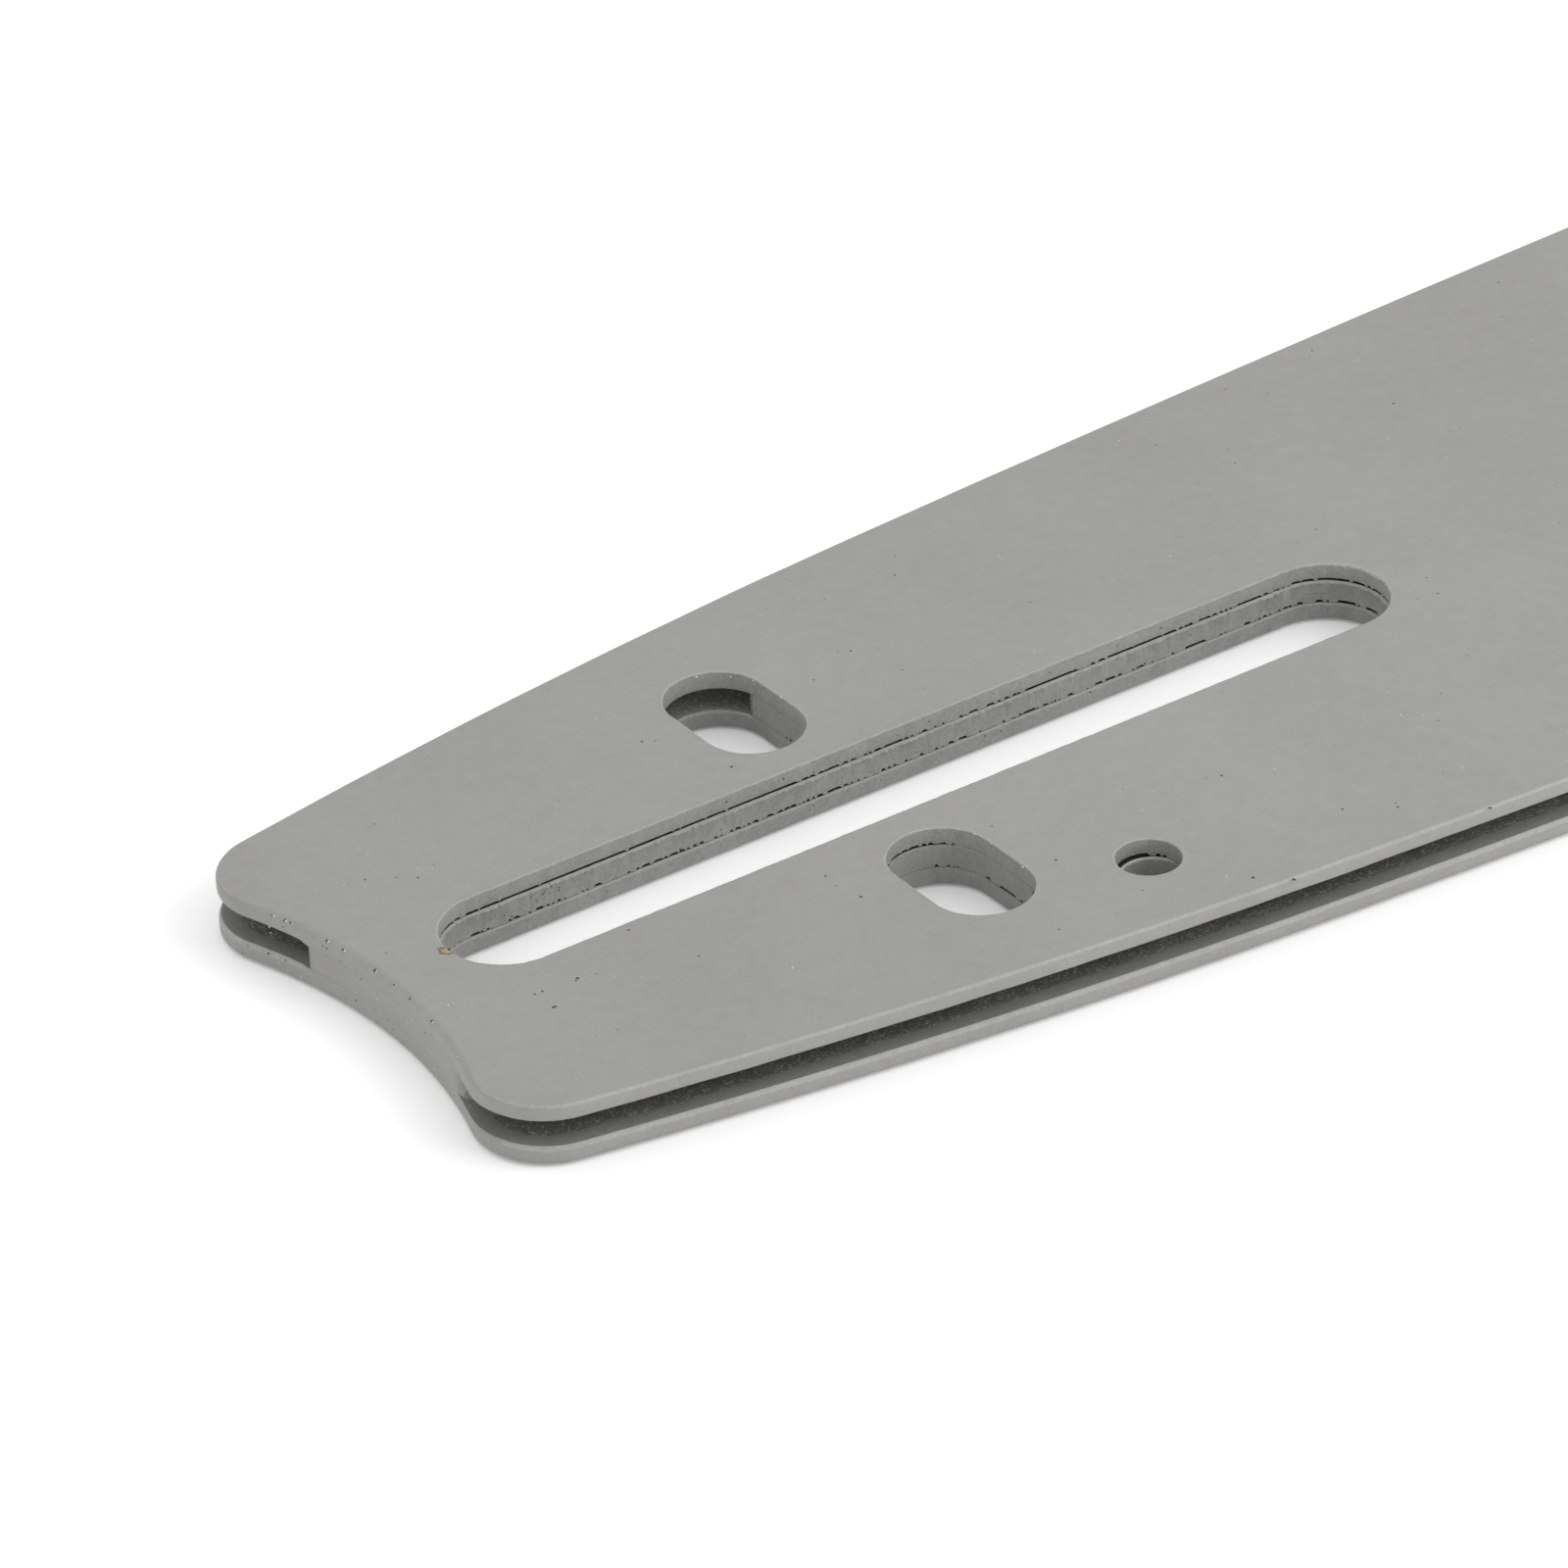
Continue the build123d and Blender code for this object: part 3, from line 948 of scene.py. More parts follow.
def new_tree(name, inputs):
    """A geometry node tree with a geometry input, these named inputs, and a geometry output."""
    tree = bpy.data.node_groups.new(name, "GeometryNodeTree")
    tree.interface.new_socket("Geometry", in_out="INPUT", socket_type="NodeSocketGeometry")
    for label, kind, default in inputs:
        socket = tree.interface.new_socket(label, in_out="INPUT", socket_type=f"NodeSocket{kind}")
        if default is not None:
            socket.default_value = default
    tree.interface.new_socket("Geometry", in_out="OUTPUT", socket_type="NodeSocketGeometry")
    return tree, node(tree, "NodeGroupInput").outputs


def close_tree(tree, geometry, material):
    """Ends a tree in real geometry with its material."""
    real = node(tree, "GeometryNodeRealizeInstances", {"Geometry": geometry})
    smooth = node(tree, "GeometryNodeSetShadeSmooth", {"Geometry": real.outputs[0]})
    painted = node(
        tree, "GeometryNodeSetMaterial", {"Geometry": smooth.outputs[0], "Material": material}
    )
    node(tree, "NodeGroupOutput", {"Geometry": painted.outputs[0]})


def repeat_tree():
    """Repeats a shape round an upright axis and joins the copies where they meet."""
    tree, given = new_tree(
        "Repeat round an axis",
        (
            ("Copies", "Int", 1),
            ("Centre", "Vector", None),
            ("Join Distance", "Float", 0.0),
            ("Material", "Material", None),
        ),
    )
    turn = maths(tree, "DIVIDE", 2 * pi, given["Copies"])
    index = node(tree, "GeometryNodeInputIndex").outputs[0]
    spin = node(tree, "ShaderNodeCombineXYZ", {"Z": maths(tree, "MULTIPLY", index, turn)})
    back = scaled(tree, given["Centre"], -1.0)
    centred = node(
        tree, "GeometryNodeTransform", {"Geometry": given["Geometry"], "Translation": back}
    )
    points = node(
        tree, "GeometryNodePoints", {"Count": given["Copies"], "Position": given["Centre"]}
    )
    copies = node(
        tree,
        "GeometryNodeInstanceOnPoints",
        {
            "Points": points.outputs[0],
            "Instance": centred.outputs[0],
            "Rotation": spin.outputs[0],
        },
    )
    real = node(tree, "GeometryNodeRealizeInstances", {"Geometry": copies.outputs[0]})
    whole = node(
        tree,
        "GeometryNodeMergeByDistance",
        {"Geometry": real.outputs[0], "Distance": given["Join Distance"]},
    )
    close_tree(tree, whole.outputs[0], given["Material"])
    return tree


def nib_tree():
    """Sets a small flat bead on each point of a mesh, by its size and facing attributes."""
    tree, given = new_tree(
        "Beads of paint",
        (("Flatness", "Float", 0.4), ("Seed", "Int", 1), ("Material", "Material", None)),
    )
    ball = node(tree, "GeometryNodeMeshIcoSphere", {"Radius": 1.0, "Subdivisions": 2})
    squeeze = node(tree, "ShaderNodeCombineXYZ", {"X": 1.0, "Y": 1.0, "Z": given["Flatness"]})
    bead = node(
        tree, "GeometryNodeTransform", {"Geometry": ball.outputs[0], "Scale": squeeze.outputs[0]}
    )
    size = node(tree, "GeometryNodeInputNamedAttribute", {"Name": "size"}, data_type="FLOAT")
    facing = node(
        tree, "GeometryNodeInputNamedAttribute", {"Name": "facing"}, data_type="FLOAT_VECTOR"
    )
    shape = random_vector(tree, (0.6, 0.6, 0.7), (1.4, 1.4, 1.2), given["Seed"])
    stood = node(
        tree, "FunctionNodeAlignRotationToVector", {"Vector": facing.outputs[0]}, axis="Z"
    )
    beads = node(
        tree,
        "GeometryNodeInstanceOnPoints",
        {
            "Points": given["Geometry"],
            "Instance": bead.outputs[0],
            "Rotation": stood.outputs[0],
            "Scale": scaled(tree, shape, size.outputs[0]),
        },
    )
    close_tree(tree, beads.outputs[0], given["Material"])
    return tree


def rim_tree():
    """Scatters small beads along the edges of a mesh, as paint that has gathered on a rim."""
    tree, given = new_tree(
        "Beads along a rim",
        (
            ("Spacing", "Float", 0.3 * MM),
            ("Bead Size", "Float", 0.06 * MM),
            ("Share", "Float", 0.2),
            ("Seed", "Int", 1),
            ("Material", "Material", None),
        ),
    )
    curve = node(tree, "GeometryNodeMeshToCurve", {"Mesh": given["Geometry"]})
    even = node(
        tree,
        "GeometryNodeResampleCurve",
        {"Curve": curve.outputs[0], "Length": given["Spacing"]},
        mode="LENGTH",
    )
    chosen = node(
        tree,
        "FunctionNodeRandomValue",
        {"Probability": given["Share"], "Seed": given["Seed"]},
        data_type="BOOLEAN",
    )
    shape = random_vector(tree, (0.4, 0.4, 0.4), (1.5, 1.5, 1.1), given["Seed"])
    ball = node(tree, "GeometryNodeMeshIcoSphere", {"Radius": 1.0, "Subdivisions": 2})
    beads = node(
        tree,
        "GeometryNodeInstanceOnPoints",
        {
            "Points": even.outputs[0],
            "Selection": chosen.outputs[3],
            "Instance": ball.outputs[0],
            "Scale": scaled(tree, shape, given["Bead Size"]),
        },
    )
    close_tree(tree, beads.outputs[0], given["Material"])
    return tree


def grown(piece, tree, values):
    """Runs a tree on a piece with these inputs, and keeps the result as the piece's plain mesh."""
    sockets = {s.name: s.identifier for s in tree.interface.items_tree if s.in_out == "INPUT"}
    modifier = piece.modifiers.new(tree.name, "NODES")
    modifier.node_group = tree
    for label, value in values.items():
        modifier[sockets[label]] = value
    evaluated = piece.evaluated_get(bpy.context.evaluated_depsgraph_get())
    mesh = bpy.data.meshes.new_from_object(evaluated)
    piece.modifiers.clear()
    piece.data = mesh
    bm = bmesh.new()
    bm.from_mesh(mesh)
    if not bm.faces or any(len(edge.link_faces) != 2 for edge in bm.edges):
        raise RuntimeError(f"{piece.name} isn't closed after {tree.name}")
    bmesh.ops.recalc_face_normals(bm, faces=bm.faces)
    bm.to_mesh(mesh)
    bm.free()
    return piece


def repeated(piece, copies, material, join_distance=0.0):
    """Repeats a piece round the nose's axis, in its material."""
    values = {
        "Copies": copies,
        "Centre": NOSE_CENTRE * Vector((1, 1, 0)),
        "Join Distance": join_distance,
        "Material": bpy.data.materials[material],
    }
    return grown(piece, repeat_tree(), values)


def mirrored(stations, bearing):
    """The stations reflected in the line through the origin at that bearing, in reverse order."""
    c, s = cos(2 * bearing), sin(2 * bearing)
    made = []
    for station in reversed(stations):
        ix, iy = station.inward
        x, y = station.x, station.y
        made.append(Station(c * x + s * y, s * x - c * y, c * ix + s * iy, s * ix - c * iy))
    return made


def tooth_outline(nose):
    """One tooth round the origin, from the middle of a gullet to the middle of the next one."""
    tip = SPROCKET_HIGH.y / MM
    half_pitch = pi / nose.teeth
    gullet = Vector((tip - nose.tooth_depth + nose.gullet_radius, 0))
    way = Vector((cos(nose.flank), sin(nose.flank)))
    left = Vector((-way.y, way.x))
    touch = gullet + left * nose.gullet_radius
    base = touch + left * nose.tip_radius
    along = base.dot(way)
    run = -along + sqrt(along**2 - base.length_squared + (tip - nose.tip_radius) ** 2)
    corner = base + way * run
    corner_bearing = atan2(corner.y, corner.x)
    half = (
        arc(gullet, nose.gullet_radius, pi, pi / 2 + nose.flank, 0.15)
        + line(touch, corner - left * nose.tip_radius, 0.4)
        + arc(corner, nose.tip_radius, nose.flank - pi / 2, corner_bearing, 0.08)
        + arc((0, 0), tip, corner_bearing, half_pitch, 0.3)
    )
    crest = Station(tip * cos(half_pitch), tip * sin(half_pitch), -cos(half_pitch), -sin(half_pitch))
    return half + [crest] + mirrored(half, half_pitch)


JOIN_DISTANCE = 0.002  # the sprocket's sectors are joined where their points are this near


def tooth_sector(scene):
    """One tooth's sector of the sprocket, open where it meets the next ones."""
    nose = sizes(scene.bar_nose)
    pitch = 2 * pi / nose.teeth
    low, high = SPROCKET_LOW.z / MM, SPROCKET_HIGH.z / MM
    bore = arc((0, 0), nose.bore_radius, pitch, 0, 0.5)
    bore.append(Station(nose.bore_radius, 0, 1, 0))
    bm = bmesh.new()
    rims = []
    edge = nose.tooth_edge
    heights = [(edge + SUPPORT, low), (edge, low), (0, low + edge)]
    heights += [(0, high - edge), (edge, high), (edge + SUPPORT, high)]
    for path in (tooth_outline(nose), bore):
        rings = [[bm.verts.new(s.moved(inset, z)) for s in path] for inset, z in heights]
        for one, other in zip(rings, rings[1:]):
            for i in range(len(path) - 1):
                bm.faces.new((one[i], one[i + 1], other[i + 1], other[i]))
        rims.append((rings[0], rings[-1]))
    for end in (0, 1):
        bm.faces.new(rims[0][end] + rims[1][end])
    bmesh.ops.triangulate(bm, faces=[face for face in bm.faces if len(face.verts) > 4])
    bmesh.ops.translate(bm, verts=bm.verts, vec=(NOSE_CENTRE.x / MM, 0, 0))
    return placed_object("sprocket_with_teeth", bm)


def turned(name, profile, centre, segments):
    """A closed turned piece about an upright axis, from its profile of radius and height."""
    bm = bmesh.new()
    rings = []
    for radius, z in profile:
        bearings = [2 * pi * i / segments for i in range(segments)]
        ring = [(centre[0] + radius * cos(a), centre[1] + radius * sin(a), z) for a in bearings]
        rings.append([bm.verts.new(point) for point in ring])
    for one, other in zip(rings, rings[1:]):
        for i in range(segments):
            j = (i + 1) % segments
            bm.faces.new((one[i], one[j], other[j], other[i]))
    bm.faces.new(rings[0])
    bm.faces.new(rings[-1])
    return placed_object(name, bm)


def roller(scene):
    """A nose roller with rounded ends."""
    nose = sizes(scene.bar_nose)
    low, high = SPROCKET_LOW.z / MM, SPROCKET_HIGH.z / MM
    over = rounding(nose.roller_edge, 0, 3)
    top = [(nose.roller_radius - inset, high + z) for inset, z in over]
    bottom = [(nose.roller_radius - inset, low - z) for inset, z in reversed(over)]
    centre = (NOSE_CENTRE.x / MM + nose.roller_circle, 0)
    return turned("nose_rollers", bottom + top, centre, 28)


RIVET_DISH = 0.9  # radius of the dish in a rivet's head
RIVET_DISH_FLOOR = 0.25  # and of its floor
RIVET_DISH_DEPTH = 0.07
RIVET_EDGE = 0.04  # chamfer round a rivet's head


def rivet(scene):
    """A nose rivet with a shallow dish from riveting in the middle of each flush head."""
    nose = sizes(scene.bar_nose)
    thickness = (RAIL_HIGH.z - RAIL_LOW.z) / MM
    high = RAIL_HIGH.z / MM
    half = [
        (RIVET_DISH_FLOOR, RIVET_DISH_DEPTH),
        (RIVET_DISH * 0.75, RIVET_DISH_DEPTH * 0.8),
        (RIVET_DISH, 0),
        (nose.rivet_head - RIVET_EDGE * 2, 0),
        (nose.rivet_head - RIVET_EDGE, RIVET_EDGE),
        (nose.rivet_shank, thickness),
    ]
    profile = half + [(radius, high - z) for radius, z in reversed(half)]
    centre = (NOSE_CENTRE.x / MM + nose.rivet_circle, 0)
    return turned("flush_rivets", profile, centre, 64)


def points_object(name, marks):
    """A mesh of loose points with a size and a facing, from marks of place, facing and size."""
    mesh = bpy.data.meshes.new(name)
    mesh.from_pydata([tuple(place * MM) for place, _, _ in marks], [], [])
    size = mesh.attributes.new("size", "FLOAT", "POINT")
    size.data.foreach_set("value", [mark[2] * MM for mark in marks])
    facing = mesh.attributes.new("facing", "FLOAT_VECTOR", "POINT")
    facing.data.foreach_set("vector", [value for mark in marks for value in mark[1]])
    return linked(name, mesh)


# Places on the upper face, in millimetres along and across the bar, and the size of the mark
# dark pits: flat dark beads whose colour is the pits' painted shade
DARK_PITS = (
    (-27.23, -7.20, 0.10),
    (-27.64, -9.04, 0.13),
    (-25.03, -7.46, 0.10),
    (-23.65, -7.60, 0.06),
    (-27.77, -7.18, 0.06),
    (7.23, -20.37, 0.08),
    (5.26, -14.42, 0.08),
    (-3.87, 6.64, 0.09),
    (-28.73, 9.78, 0.07),
    (-27.11, 8.79, 0.05),
    (25.16, -22.53, 0.09),
    (13.30, -23.37, 0.10),
    (15.09, -25.08, 0.11),
    (29.45, -26.10, 0.11),
    (19.05, -12.98, 0.07),
    (-6.50, 12.59, 0.09),
    (-6.71, -7.25, 0.09),
    (-6.40, -10.47, 0.09),
    (-19.45, -4.82, 0.09),
    (-24.82, -7.32, 0.09),
)
# light nibs: real beads whose lighter colour is a painted highlight
LIGHT_NIBS = (
    (-26.94, 12.22, 0.07),
    (-25.59, 8.85, 0.05),
    (-32.10, -5.05, 0.09),
    (-32.45, -5.02, 0.09),
)
RIM_NIBS = (
    (0.65, 16.93, 0.09),
    (2.33, 15.58, 0.10),
    (3.16, 14.30, 0.07),
    (3.38, 11.52, 0.10),
    (2.74, -7.98, 0.07),
    (3.22, -8.94, 0.10),
    (3.34, -9.47, 0.08),
    (3.34, -10.47, 0.08),
    (3.22, -13.79, 0.09),
    (-18.82, 4.15, 0.10),
    (-2.10, 4.13, 0.06),
)
# Places across the bar of the pits on the hollow end's upper edge, dark beads in painted shade
HOLLOW_PITS_Y = (11.48, 10.09, 9.14, 8.67, 5.63, 4.19, 1.10, -0.94, -2.79, -5.58, -9.51)
HOLLOW_PIT_DROP = 0.16  # they lie this far under the upper face
HOLLOW_PIT_SINK = 0.13  # and this far in from the hollow end's wall, on its rounded edge
NIB_BESIDE_PIT = 0.16  # from each of these pits to the light nib beside it, a painted highlight on the pit's rim

# Fine marks that are strewn: how many, where, and their sizes
HOLLOW_MARKS = 64
HOLLOW_MARKS_HALF_Y = 13
HOLLOW_MARK_HEIGHTS = (0.3, 0.6, 0.8, 1.0, 2.0, 2.6, 3.0, 3.4)
SLOT_WALL_PITS = (
    # count, stretch along the bar, heights and sizes
    (14, (-20.6, -18.4), (1.5, 2.8), (0.04, 0.09)),
    (60, (-24, 36), (0.4, 3.7), (0.03, 0.07)),
)
FACE_MARKS_TAIL_X = -33
FACE_MARKS_NOSE = 15  # and they go this far beyond the nose's centre
FACE_PITS, FACE_PIT_SIZES = 340, (0.03, 0.075)
FACE_NIBS, FACE_NIB_SIZES = 520, (0.03, 0.07)


def hollow_wall(outline, y, z):
    """A place on the hollow end's wall, and the direction away from the wall."""
    slope = asin((y - outline.hollow.y) / outline.s.tail_hollow_radius)
    return Vector((outline.hollow_x(y), y, z)), Vector((-cos(slope), -sin(slope), 0))


def marks_of_wear(scene):
    """The dark pits and the light nibs, whose colours are painted shade and painted highlight: those that
    stand out, and fine ones strewn everywhere.
    """
    rng = Random(41)
    outline = Outline(scene)
    holes = sizes(scene.bar_openings)
    top = RAIL_HIGH.z / MM
    dark = [(Vector((x, y, top)), UP, size) for x, y, size in DARK_PITS]
    light = [(Vector((x, y, top)), UP, size) for x, y, size in LIGHT_NIBS]
    light += [(Vector((x, y, top - 0.02)), UP, size * 0.8) for x, y, size in RIM_NIBS]
    for y in HOLLOW_PITS_Y:
        place, away = hollow_wall(outline, y, top - HOLLOW_PIT_DROP)
        place -= away * HOLLOW_PIT_SINK
        facing = (away + UP).normalized()
        dark.append((place, facing, rng.uniform(0.05, 0.1)))
        beside = place + Vector((-away.y, away.x, 0)) * NIB_BESIDE_PIT
        light.append((beside, facing, rng.uniform(0.04, 0.09)))
    for _ in range(HOLLOW_MARKS):
        y = rng.uniform(-HOLLOW_MARKS_HALF_Y, HOLLOW_MARKS_HALF_Y)
        place, away = hollow_wall(outline, y, rng.choice(HOLLOW_MARK_HEIGHTS))
        marks = rng.choice((dark, dark, light))
        marks.append((place, away, rng.uniform(0.03, 0.07)))
    for count, along, heights, pit_sizes in SLOT_WALL_PITS:
        for _ in range(count):
            place = Vector((rng.uniform(*along), holes.slot_width / 2, rng.uniform(*heights)))
            dark.append((place, Vector((0, -1, 0)), rng.uniform(*pit_sizes)))
    for z, facing in ((top, UP), (0, -UP)):
        for count, marks, mark_sizes in (
            (FACE_PITS, dark, FACE_PIT_SIZES),
            (FACE_NIBS, light, FACE_NIB_SIZES),
        ):
            for _ in range(count):
                x = rng.uniform(FACE_MARKS_TAIL_X, outline.nose.x + FACE_MARKS_NOSE)
                # the nose is narrower than this, and on_plate leaves out what lies beyond it
                limit = outline.half_width(min(x, outline.nose.x - 20), 1)
                y = rng.uniform(-limit, limit)
                if on_plate(outline, holes, x, y):
                    marks.append((Vector((x, y, z)), facing, rng.uniform(*mark_sizes)))
    return dark, light


EDGE_MARGIN = 0.6  # strewn marks stay this far from the plates' outline
HOLE_MARGIN = 0.3  # and this far from the openings
RIVETED_RADIUS = 8  # and out of this circle round the nose's centre


def on_plate(outline, holes, x, y):
    """Whether a place on a rail plate's face is clear of its edges and openings."""
    from_nose = hypot(x - outline.nose.x, y)
    hollow_radius = outline.s.tail_hollow_radius + EDGE_MARGIN
    if hypot(x - outline.hollow.x, y - outline.hollow.y) < hollow_radius:
        return False
    corner = outline.tail_corner(outline.hollow, outline.s.far_corner_radius)[0]
    if x < corner.x and abs(y) > corner.y:
        return False
    if x > outline.nose.x and from_nose > outline.s.nose_radius - EDGE_MARGIN:
        return False
    if from_nose < RIVETED_RADIUS:
        return False
    slot_x = min(max(x, holes.slot_tail_x), holes.slot_tail_x + holes.slot_centres)
    if hypot(x - slot_x, y) < holes.slot_width / 2 + HOLE_MARGIN:
        return False
    reach = (holes.oblong_length - holes.oblong_width) / 2
    for middle in (holes.oblong_spacing / 2, -holes.oblong_spacing / 2):
        nearest = min(max(y, middle - reach), middle + reach)
        if hypot(x, y - nearest) < holes.oblong_width / 2 + HOLE_MARGIN:
            return False
    return hypot(x - holes.oil_x, y - holes.oil_y) > holes.oil_radius + HOLE_MARGIN


RIM_BEAD_SPACING = 0.28  # between the places along a rim where a bead may be
RIM_BEAD_SIZE = 0.06
RIM_BEAD_SHARE = 0.3  # of the places that have one


def rim_edges(scene):
    """The rims of the openings in the upper face, as a mesh of edges in metres."""
    points, edges = [], []
    inset, z = 0.04, RAIL_HIGH.z / MM - 0.05
    for _, _, path in opening_paths(scene, 0.2):
        start = len(points)
        count = len(path)
        points += [tuple(station.moved(inset, z) * MM) for station in path]
        edges += [(start + i, start + (i + 1) % count) for i in range(count)]
    mesh = bpy.data.meshes.new("rim_beads")
    mesh.from_pydata(points, edges, [])
    return linked("rim_beads", mesh)


def noise_of(tree, place, size, detail=2.0, roughness=0.5):
    """A noise whose waves are about this long, in metres."""
    inputs = {"Vector": place, "Scale": 1 / size, "Detail": detail, "Roughness": roughness}
    return node(tree, "ShaderNodeTexNoise", inputs).outputs["Fac"]


def weighed(tree, parts):
    """The sum of sockets, each times its weight."""
    total = None
    for socket, weight in parts:
        made = node(tree, "ShaderNodeMath", {0: socket, 1: weight, 2: 0.0}, operation="MULTIPLY_ADD")
        if total is not None:
            tree.links.new(total, made.inputs[2])
        total = made.outputs[0]
    return total


def mixed(tree, share, one, other):
    """A colour between one and other by the share."""
    return node(tree, "ShaderNodeMix", {0: share, 6: one, 7: other}, data_type="RGBA").outputs[2]


def ranged(tree, value, low, high, start, end):
    """A value from low to high brought to the range from start to end, and kept within it."""
    inputs = {"Value": value, "From Min": low, "From Max": high, "To Min": start, "To Max": end}
    return node(tree, "ShaderNodeMapRange", inputs).outputs[0]


def bumped(tree, height, distance, **inputs):
    """The normals of a surface whose height waves by this distance, in metres."""
    inputs.update({"Height": height, "Distance": distance, "Strength": 1.0})
    return node(tree, "ShaderNodeBump", inputs).outputs[0]


def new_material(name):
    """A material with a fresh principled shader."""
    material = bpy.data.materials.new(name)
    material.use_nodes = True
    tree = material.node_tree
    tree.nodes.clear()
    shader = node(tree, "ShaderNodeBsdfPrincipled")
    node(tree, "ShaderNodeOutputMaterial", {"Surface": shader.outputs[0]})
    place = node(tree, "ShaderNodeTexCoord").outputs["Object"]
    return material, tree, shader, place


def shaded(base, share):
    """A colour made lighter or darker by a share, with its alpha."""
    return tuple(value * (1 + share) for value in base) + (1.0,)


def paint_material(finish, name, base, coarse=1.0, chip=None, sparkle=0.0):
    """Sprayed paint with grain, orange peel and an uneven tone. A chip is a place on the plate."""
    material, tree, shader, place = new_material(name)
    grain = noise_of(tree, place, finish.grain, 2.5, 0.6)
    peel = noise_of(tree, place, finish.peel, 1.5)
    cloud = noise_of(tree, place, finish.peel * 16, 3.0)
    tone = weighed(tree, ((grain, 0.5), (peel, 0.2), (cloud, 0.3)))
    spread = finish.tone_spread * coarse
    coat = mixed(tree, tone, shaded(base, -spread), shaded(base, spread))
    if chip is not None:
        coat = chipped(tree, finish, place, coat, chip)
    if sparkle > 0:
        fine = noise_of(tree, place, finish.grain * 0.8, 1.0, 0.7)
        specks = ranged(tree, fine, 0.52, 0.72, 0.0, sparkle)
        coat = mixed(tree, specks, coat, shaded(finish.nib, 0))
    tree.links.new(coat, shader.inputs["Base Color"])
    roughness = finish.paint_roughness
    dull = ranged(tree, grain, 0.3, 0.7, roughness - 0.06, roughness + 0.1)
    tree.links.new(dull, shader.inputs["Roughness"])
    shader.inputs["Specular IOR Level"].default_value = finish.paint_gloss
    waves = bumped(tree, peel, finish.peel_height * coarse)
    grains = bumped(tree, grain, finish.grain_height * coarse, Normal=waves)
    tree.links.new(grains, shader.inputs["Normal"])
    return material


CHIP_REACH = 0.76  # the chip ends where the way from its middle and its raggedness add up to this
STAIN_REACH = 1.0  # the same for the brown stain round it
CHIP_FADE = 0.12  # width over which the two fade


def chipped(tree, finish, place, coat, chip):
    """The coat with a beige patch and a brown edge where it is chipped."""
    apart = node(tree, "ShaderNodeVectorMath", {0: place, 1: chip}, operation="DISTANCE")
    ragged = noise_of(tree, place, 0.35 * MM, 3.0, 0.7)
    reach = weighed(tree, ((apart.outputs["Value"], 1 / MM), (ragged, 1.1)))

    def inside(edge):
        return ranged(tree, reach, edge, edge + CHIP_FADE, 1.0, 0.0)

    stained = mixed(tree, inside(STAIN_REACH), coat, shaded(finish.rust, 0))
    return mixed(tree, inside(CHIP_REACH), stained, shaded(finish.primer, 0))


def plain_material(name, base, roughness):
    """The material of small marks, with a little unevenness."""
    material, tree, shader, place = new_material(name)
    fine = noise_of(tree, place, 0.1 * MM)
    tone = mixed(tree, fine, shaded(base, -0.15), shaded(base, 0.15))
    tree.links.new(tone, shader.inputs["Base Color"])
    shader.inputs["Roughness"].default_value = roughness
    return material


def steel_material(finish, name, apart):
    """Ground steel. Its grinding lines run along Y and are this far apart along X, in metres."""
    material, tree, shader, place = new_material(name)
    stretched = node(tree, "ShaderNodeMapping", {"Vector": place, "Scale": (1.0, 0.03, 1.0)})
    scratches = noise_of(tree, stretched.outputs[0], apart, 3.0, 0.65)
    cloud = noise_of(tree, place, 3 * MM, 3.0)
    tone = weighed(tree, ((scratches, 0.6), (cloud, 0.4)))
    colour_of_steel = mixed(tree, tone, shaded(finish.steel, -0.22), shaded(finish.steel, 0.18))
    tree.links.new(colour_of_steel, shader.inputs["Base Color"])
    shader.inputs["Metallic"].default_value = 1.0
    roughness = finish.steel_roughness
    dull = ranged(tree, tone, 0.3, 0.7, roughness - 0.09, roughness + 0.09)
    tree.links.new(dull, shader.inputs["Roughness"])
    tree.links.new(bumped(tree, scratches, finish.scratch_height), shader.inputs["Normal"])
    return material


def seen_share(tree):
    """1 for camera, glossy and transmission rays, and 0 for the rest."""
    ray = node(tree, "ShaderNodeLightPath").outputs
    direct = maths(tree, "MAXIMUM", ray["Is Camera Ray"], ray["Is Glossy Ray"])
    return maths(tree, "MAXIMUM", direct, ray["Is Transmission Ray"])


class GUIDEBAR_OT_finishes(bpy.types.Operator):
    """Makes the paints, the steel and the materials of the small marks"""

    bl_idname = "guide_bar.finishes"
    bl_label = "Finishes"

    def execute(self, context):
        finish = context.scene.bar_finish
        holes = sizes(context.scene.bar_openings)
        chip_x = holes.slot_tail_x - holes.slot_width / 2 - 0.08
        chip = Vector((chip_x, 0.05, RAIL_HIGH.z / MM - 0.1)) * MM
        paint_material(finish, "sprayed paint", finish.paint, chip=chip)
        paint_material(finish, "paint on walls", finish.wall, coarse=2.0, chip=chip)
        paint_material(finish, "groove paint", finish.groove, coarse=1.5)
        paint_material(finish, "rough groove paint", finish.rough, coarse=3.0, sparkle=0.75)
        paint_material(finish, "paint on edges", finish.edge, coarse=1.4, chip=chip)
        steel_material(finish, "ground steel", finish.grinding)
        steel_material(finish, "riveted steel", finish.rivet_lines)
        plain_material("open joints", finish.gap, 0.8)
        plain_material("dark pits", finish.pit_shade, 0.7)
        plain_material("light nibs", finish.nib, 0.5)
        return {"FINISHED"}


